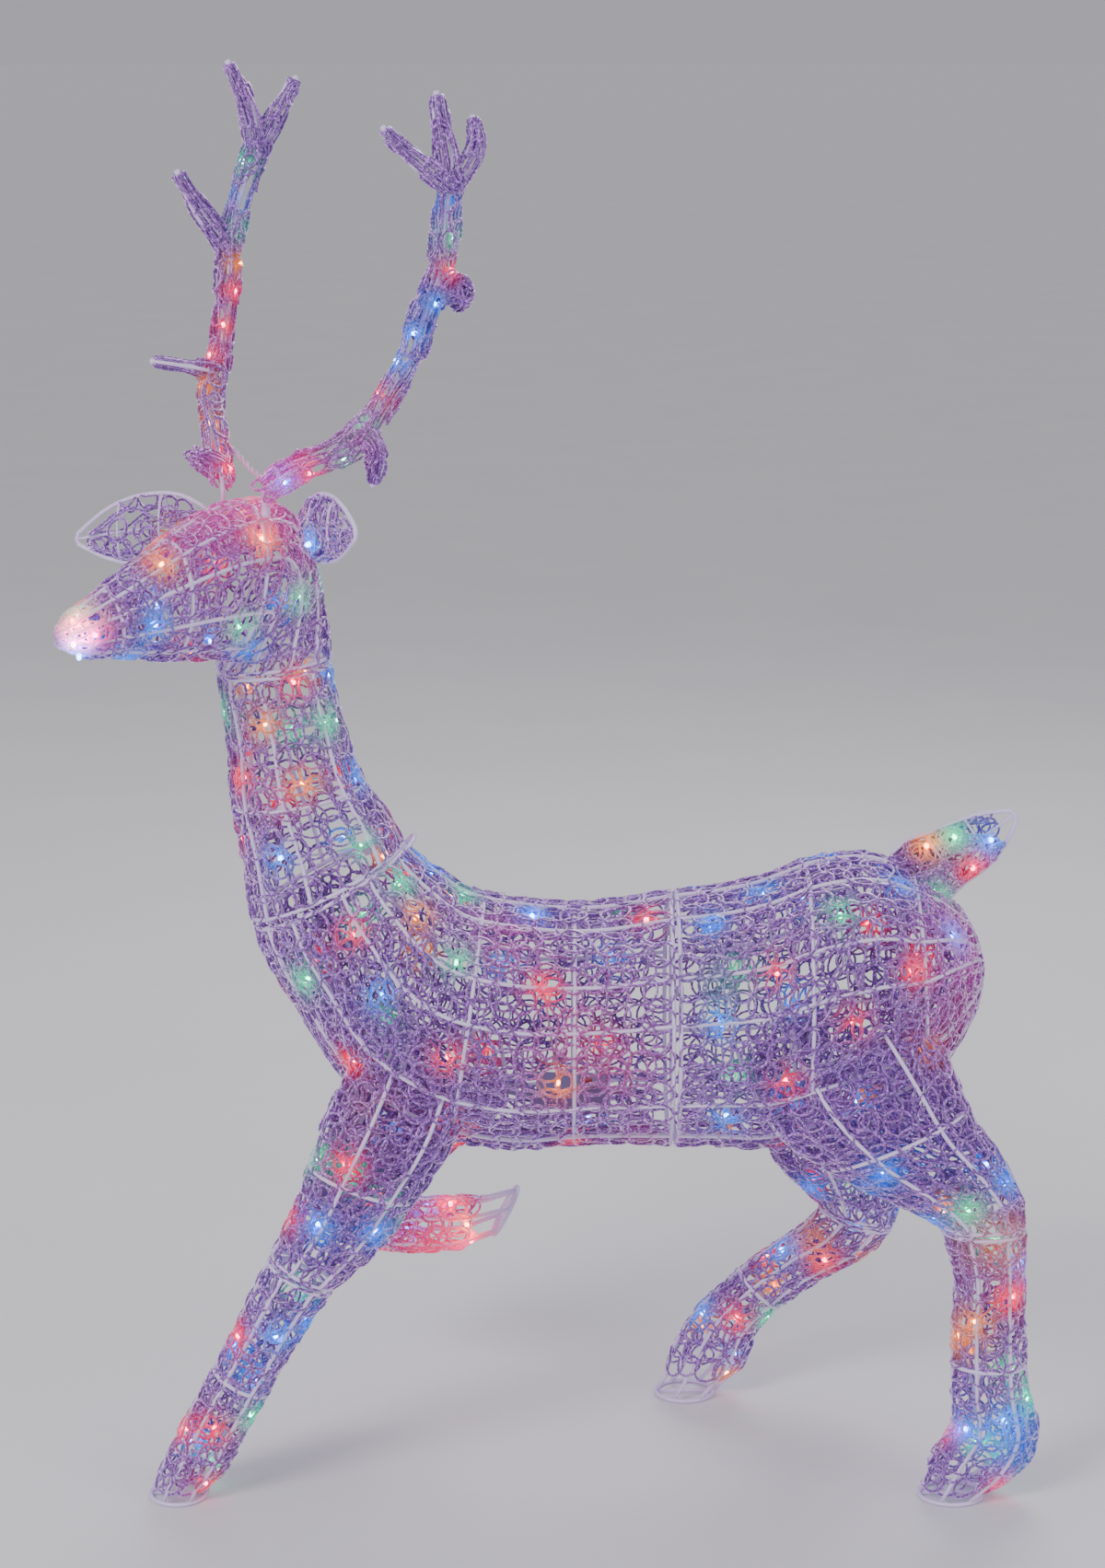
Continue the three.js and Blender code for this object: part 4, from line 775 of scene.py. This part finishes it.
# lower legs
for s, ncol, phis in (("left_foreleg", 10, [90, 150, 210, 270, 330, 30]), ("right_foreleg", 10, [90, 150, 210, 270, 330, 30]), ("left_hindleg", 11, [90, 150, 205, 270, 335, 30]), ("right_hindleg", 11, [90, 150, 205, 270, 335, 30])):
    b = Build()
    dense = [(0.4, 6.0, None)]
    if s == "left_hindleg":
        dense += [(1.3, 5.5, lambda q, f: (q > 0.72) & near(f, 90, 70)), (0.6, 6.0, lambda q, f: q < 0.25)]
    if s == "right_foreleg":
        dense += [(0.9, 6.0, lambda q, f: q < 0.55)]
    net(b, s, ncol, r=14.0, pitch=19.0, dense=dense, stop={"left_foreleg": 0.955, "right_foreleg": 0.91, "left_hindleg": 0.955, "right_hindleg": 0.93}[s])
    b.make(s + "_strand_net", s, [ACRYLIC], (s + "_net",))
    b = Build()
    loft = LOFTS[s]
    hx, hy, hz, ht, hw, hh = HOOVES[s]
    hoof = Loft([[hx, hy, hz - 0.5, ht, hw, hh], [hx, hy, hz + 0.5, ht, hw, hh]], 8)
    q0 = seam_q(loft, 3.4, 0)
    hoop(b, loft, q0, 3.4)
    hoop(b, loft, 0.5, 3.4, n=40)
    for f in phis:
        end = hoof.S([0.5], math.radians(f), 0.6)[0]
        stringer(b, loft, f, 3.9, q0, 0.965, extra1=end)
    welds(b, loft, [q0, 0.5], phis, 3.9)
    f = np.linspace(0, 2 * np.pi, 48, endpoint=False)
    b.tubes(hoof.S(np.full(48, 0.5), f)[None], np.cross(*hoof.axes(np.array([0.5]))[1:])[:, None], WIRE, 8)
    b.lines(np.vstack([hoof.S([0.5], math.pi / 2)[0], hoof.S([0.5], math.pi / 2, hh)[0], hoof.S([0.5], 3 * math.pi / 2)[0]]), rad=1.6)
    b.make(s + "_wire_cage", s, [WIREMAT], (s + "_frame",))
    light_set(s + "_leds", s, (s,), (s + "_light_string",))


# ears and tail: a wire leaf with strands laid along it
def leaf(s, strands, n_rings, tip):
    loft = LOFTS[s]
    b = Build()
    f0 = rng.uniform(0, 6.28, strands)
    q = np.linspace(0.0 if s == "tail" else 0.05, tip, 26)
    for f in f0:
        wob = 0.28 * np.sin(np.linspace(0, 9, 26) + rng.uniform(0, 6.28))
        P, N = frame_pts(loft, q, f + wob, 2.5 + rng.uniform(0, 2))
        b.tubes(P[None], N[None], STRAND * 0.95, 4, closed=False)
    qq, ff = scatter(loft, n_rings, 15.0, 10.5)
    ok = qq < tip
    P, N = rings(loft, qq[ok], ff[ok], 10.5, 3.0, 14, 1.0, 1.0, 1.0)
    b.tubes(P, N[:, None], STRAND, 4)
    b.make(s + "_strand_net", s, [ACRYLIC], (s + "_net",))
    b = Build()
    q = np.linspace(0.03, 0.985, 24)
    up, un = frame_pts(loft, q, math.pi / 2, 2.4)
    dn, dnn = frame_pts(loft, q, -math.pi / 2, 2.4)
    r, _, _ = loft.axes(np.array([1.0]))
    loop = np.vstack([up, r[0, :3], dn[::-1]])
    b.tubes(loop[None], np.vstack([un, un[-1:], dnn[::-1]])[None], 2.1, 8, closed=True)
    r, L, D = loft.axes(np.linspace(0.03, 1, 16))
    b.tubes(r[None, :, :3], L[None], 1.5, 6, closed=False)
    for qq in (0.34, 0.66):
        hoop(b, loft, qq, 4.0, rad=1.3, n=30, K=6)
    b.make(s + "_wire_leaf", s, [WIREMAT], (s + "_frame",))


leaf("left_ear", 9, 0.75, 0.97)
leaf("right_ear", 9, 0.45, 0.90)
leaf("tail", 17, 1.6, 0.79)
light_set("tail_leds", "tail", ("tail",), ("tail_light_string",))
light_set("left_ear_led", "left_ear", ("left_ear",), ())
light_set("right_ear_led", "right_ear", ("right_ear",), ())


# antlers: strands wound along a rod, folded back at the tips
def turning(P):
    T = np.gradient(P, axis=0)
    T /= np.linalg.norm(T, axis=1)[:, None] + 1e-9
    up, ups = np.array([0.31, 0.22, 0.93]), []
    for t in T:
        up = up - t * (up @ t)
        up /= np.linalg.norm(up) + 1e-9
        ups.append(up)
    return T, np.array(ups)


def antler(s, spec):
    b = Build()
    beam = smooth(spec["beam"], 9)
    radii = np.interp(np.linspace(0, 1, len(beam)), np.linspace(0, 1, len(spec["r"])), spec["r"])
    T, U = turning(beam)
    W = np.cross(T, U)
    n = len(beam)
    x = np.linspace(0, 1, n)
    for k in range(13):
        f = 2 * np.pi * k / 13 + 0.5 * np.sin(x * rng.uniform(6, 16) + rng.uniform(0, 6.28)) + x * rng.uniform(-1.2, 1.2)
        r = radii - rng.uniform(0.8, 4.6) + 1.9 * np.sin(x * rng.uniform(18, 34) + rng.uniform(0, 6.28))
        a, z = (0, n) if k % 3 else (int(rng.integers(0, n // 3)), int(rng.integers(2 * n // 3, n)))
        P = beam + U * (r * np.cos(f))[:, None] + W * (r * np.sin(f))[:, None]
        P, N = P[a:z], (U * np.cos(f)[:, None] + W * np.sin(f)[:, None])[a:z]
        b.tubes(P[None], N[None], STRAND, 4, closed=False)
    # loops that lie on the bundle
    R = int(n * 1.15)
    i = rng.uniform(2, n - 3, R)
    k = i.astype(int)
    c = beam[k] * (1 - (i - k))[:, None] + beam[k + 1] * (i - k)[:, None]
    f = rng.uniform(0, 2 * np.pi, R)
    rad = radii[k]
    t = 2 * np.pi * np.arange(14) / 14
    rl = rng.uniform(7.5, 12, R)[:, None]
    du, dv = rl * 1.25 * np.cos(t), rl * 0.9 * np.sin(t)
    ang = f[:, None] + dv / rad[:, None]
    rr = (rad - 0.4 + rng.uniform(-2.2, 2.6, R))[:, None]
    P = (c[:, None] + T[k][:, None] * du[..., None] + U[k][:, None] * (rr * np.cos(ang))[..., None] + W[k][:, None] * (rr * np.sin(ang))[..., None])
    N = U[k] * np.cos(f)[:, None] + W[k] * np.sin(f)[:, None]
    b.tubes(P, N[:, None], STRAND, 4)
    for ti, tine in enumerate(spec["tines"]):
        pts = smooth(tine, 7)
        Tt, Ut = turning(pts)
        Wt = np.cross(Tt, Ut)
        m = len(pts)
        bare = s == "right_antler" and ti == 3
        count = 3 if bare else 7
        for j in range(count):
            f = np.pi * j / count + rng.uniform(-0.2, 0.2)
            r = np.interp(np.linspace(0, 1, m), [0, 0.5, 1], [14.5, 10.0, 5.5]) * rng.uniform(0.62, 1.0) + 1.1 * np.sin(np.linspace(0, rng.uniform(7, 13), m) + rng.uniform(0, 6.28))
            d = Ut * np.cos(f) + Wt * np.sin(f)
            go, back = pts + d * r[:, None], pts - d * r[:, None]
            tip = pts[-1] - Tt[-1] * rng.uniform(0, 9)
            P = smooth(np.vstack([go[::2], tip, back[::-1][::2]]), 4)
            b.lines(P, rad=STRAND * 0.9, K=4)
        if True:
            R = 7 if bare else 10
            i = rng.integers(0, max(2, m // 3) if bare else m - 3, R)
            f = rng.uniform(0, 6.28, R)
            rr = np.interp(i / m, [0, 1], [12.0, 6.0]) * rng.uniform(0.8, 1.1, R)
            ang = f[:, None] + 8.0 * np.sin(t) / rr[:, None]
            P = pts[i][:, None] + Tt[i][:, None] * (8.5 * np.cos(t))[None, :, None] + Ut[i][:, None] * (rr[:, None] * np.cos(ang))[..., None] + Wt[i][:, None] * (rr[:, None] * np.sin(ang))[..., None]
            b.tubes(P, (Ut[i] * np.cos(f)[:, None] + Wt[i] * np.sin(f)[:, None])[:, None], STRAND, 4)
    for c, size, count, rl in spec["lobes"]:
        # a curly knot of loops on the side of the beam
        c = np.array(c, float)
        d = rng.normal(0, 1, (count, 3))
        d /= np.linalg.norm(d, axis=1)[:, None]
        u = np.cross(d, rng.normal(0, 1, (count, 3)))
        u /= np.linalg.norm(u, axis=1)[:, None]
        v = np.cross(d, u)
        r = rng.uniform(0.75, 1.1, count)[:, None, None] * rl
        P = (c + d * rng.uniform(0.25, 0.6, (count, 1)) * np.array(size))[:, None] + r * (u[:, None] * np.cos(t)[None, :, None] + v[:, None] * np.sin(t)[None, :, None] * 0.8)
        b.tubes(P, d[:, None], STRAND, 4)
    b.make(s + "_strand_wrap", s, [ACRYLIC], (s + "_wrap",))
    b = Build()
    base = spec["base"]
    b.lines(smooth([[base[0], base[1], 937], base] + spec["beam"], 8), rad=2.2)
    for ti, tine in enumerate(spec["tines"]):
        pts = smooth(tine, 7)
        Tt, Ut = turning(pts)
        w = np.interp(np.linspace(0, 1, len(pts)), [0, 0.4, 0.85, 1], [2.0, 7.5, 4.2, 1.4])[:, None] * (1.5 if ti == 3 and s == "right_antler" else 1.0)
        d = Ut if ti != 3 else np.cross(Tt, Ut)
        P = smooth(np.vstack([(pts + d * w)[::2], pts[-1] + Tt[-1] * 3, (pts - d * w)[::-1][::2]]), 4)
        b.lines(P, rad=1.9)
        b.lines(pts[-1] + np.outer(np.array([-9.0, -4.0, 1.0, 4.0]), Tt[-1]), rad=2.9, K=8)
    b.make(s + "_rod", s, [WIREMAT], (s + "_frame",))
    light_set(s + "_leds", s, (s,), (s + "_light_string",))


antler("left_antler", LEFT_ANTLER)
antler("right_antler", RIGHT_ANTLER)

# the twisted pair that links the antlers
b = Build()
pts = smooth([[-314, 50, 1012], [-302, 40, 1003], [-286, 12, 991], [-271, -28, 988]], 14)
T, U = turning(pts)
W = np.cross(T, U)
a = np.linspace(0, 2 * np.pi * 4.5, len(pts))
for sgn in (1, -1):
    b.lines(pts + sgn * 1.4 * (U * np.cos(a)[:, None] + W * np.sin(a)[:, None]), rad=1.3, K=7)
b.make("antler_link_twisted_pair", "neck_and_head", [LINK], ("antler_link_cable",))

# ------------------------------------------------------------------ carried-over CAD nodes
CLIP = moulded("snap_clip_white", (0.84, 0.82, 0.92), 0.42)
CASE = moulded("controller_shell_violet_grey", (0.30, 0.24, 0.46), 0.5)
BUTTON = moulded("button_red", (0.62, 0.08, 0.07), 0.4)
LEAD = moulded("lead_rubber", (0.40, 0.33, 0.58), 0.6)
for n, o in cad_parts.items():
    m = CLIP if "clip" in n else CASE if n.startswith("controller") else BUTTON if n == "mode_button" else LEAD if n == "supply_lead" else None
    if m is not None:
        for sl in o.material_slots:
            sl.material = m
        if not o.material_slots:
            o.data.materials.append(m)

# ------------------------------------------------------------------ stage
fm, nt, p = tree("pale_floor")
co = nt.nodes.new("ShaderNodeTexCoord").outputs["Object"]
nz = node(nt, "ShaderNodeTexNoise", Scale=3.0, Detail=6.0)
nt.links.new(co, nz.inputs["Vector"])
nt.links.new(mixer(nt, (0.80, 0.79, 0.82), (0.74, 0.73, 0.77), nz.outputs["Fac"]), p.inputs["Base Color"])
p.inputs["Roughness"].default_value = 0.7
me = bpy.data.meshes.new("floor")
vs = [(300 * math.cos(a), 300 * math.sin(a), 0.0) for a in np.linspace(0, 2 * math.pi, 48, endpoint=False)]
me.from_pydata(vs, [], [tuple(range(48))])
me.materials.append(fm)
floor = bpy.data.objects.new("floor", me)
floor.location = (0, 0, -0.0005)
bpy.context.scene.collection.objects.link(floor)


def area(name, at, look, size, power, colour):
    l = bpy.data.lights.new(name, "AREA")
    l.size, l.energy, l.color = size, power, colour
    o = bpy.data.objects.new(name, l)
    o.location = at
    o.rotation_euler = (Vector(look) - Vector(at)).to_track_quat("-Z", "Y").to_euler()
    bpy.context.scene.collection.objects.link(o)


area("key", (-2.2, -2.6, 3.0), (0, 0, 0.6), 1.4, 84, (1.0, 0.97, 0.96))
area("fill", (2.8, -2.0, 1.8), (0, 0, 0.6), 2.4, 26, (0.93, 0.93, 1.0))
area("rim", (0.8, 2.2, 2.8), (0, 0, 0.8), 1.6, 40, (0.97, 0.95, 1.0))
w = bpy.data.worlds.new("studio")
w.use_nodes = True
w.node_tree.nodes["Background"].inputs[0].default_value = (0.90, 0.90, 0.94, 1)
w.node_tree.nodes["Background"].inputs[1].default_value = 0.62
# what the camera sees past the floor's edge matches the floor
far = w.node_tree.nodes.new("ShaderNodeBackground")
far.inputs[0].default_value, far.inputs[1].default_value = (0.430, 0.424, 0.463, 1), 1.0
path = w.node_tree.nodes.new("ShaderNodeLightPath")
both = w.node_tree.nodes.new("ShaderNodeMixShader")
w.node_tree.links.new(path.outputs["Is Camera Ray"], both.inputs[0])
w.node_tree.links.new(w.node_tree.nodes["Background"].outputs[0], both.inputs[1])
w.node_tree.links.new(far.outputs[0], both.inputs[2])
w.node_tree.links.new(both.outputs[0], w.node_tree.nodes["World Output"].inputs[0])
bpy.context.scene.world = w

cam = bpy.data.cameras.new("camera")
cam.lens, cam.sensor_width, cam.sensor_fit = 3402.0 / 1703.0 * 36.0, 36.0, "AUTO"
co = bpy.data.objects.new("camera", cam)
co.location = ((OFF[0]) / 1000, (-2950.0 + OFF[1]) / 1000, 1.379)
co.rotation_euler = (math.radians(90 - 13.2), 0, 0)
bpy.context.scene.collection.objects.link(co)
bpy.context.scene.camera = co
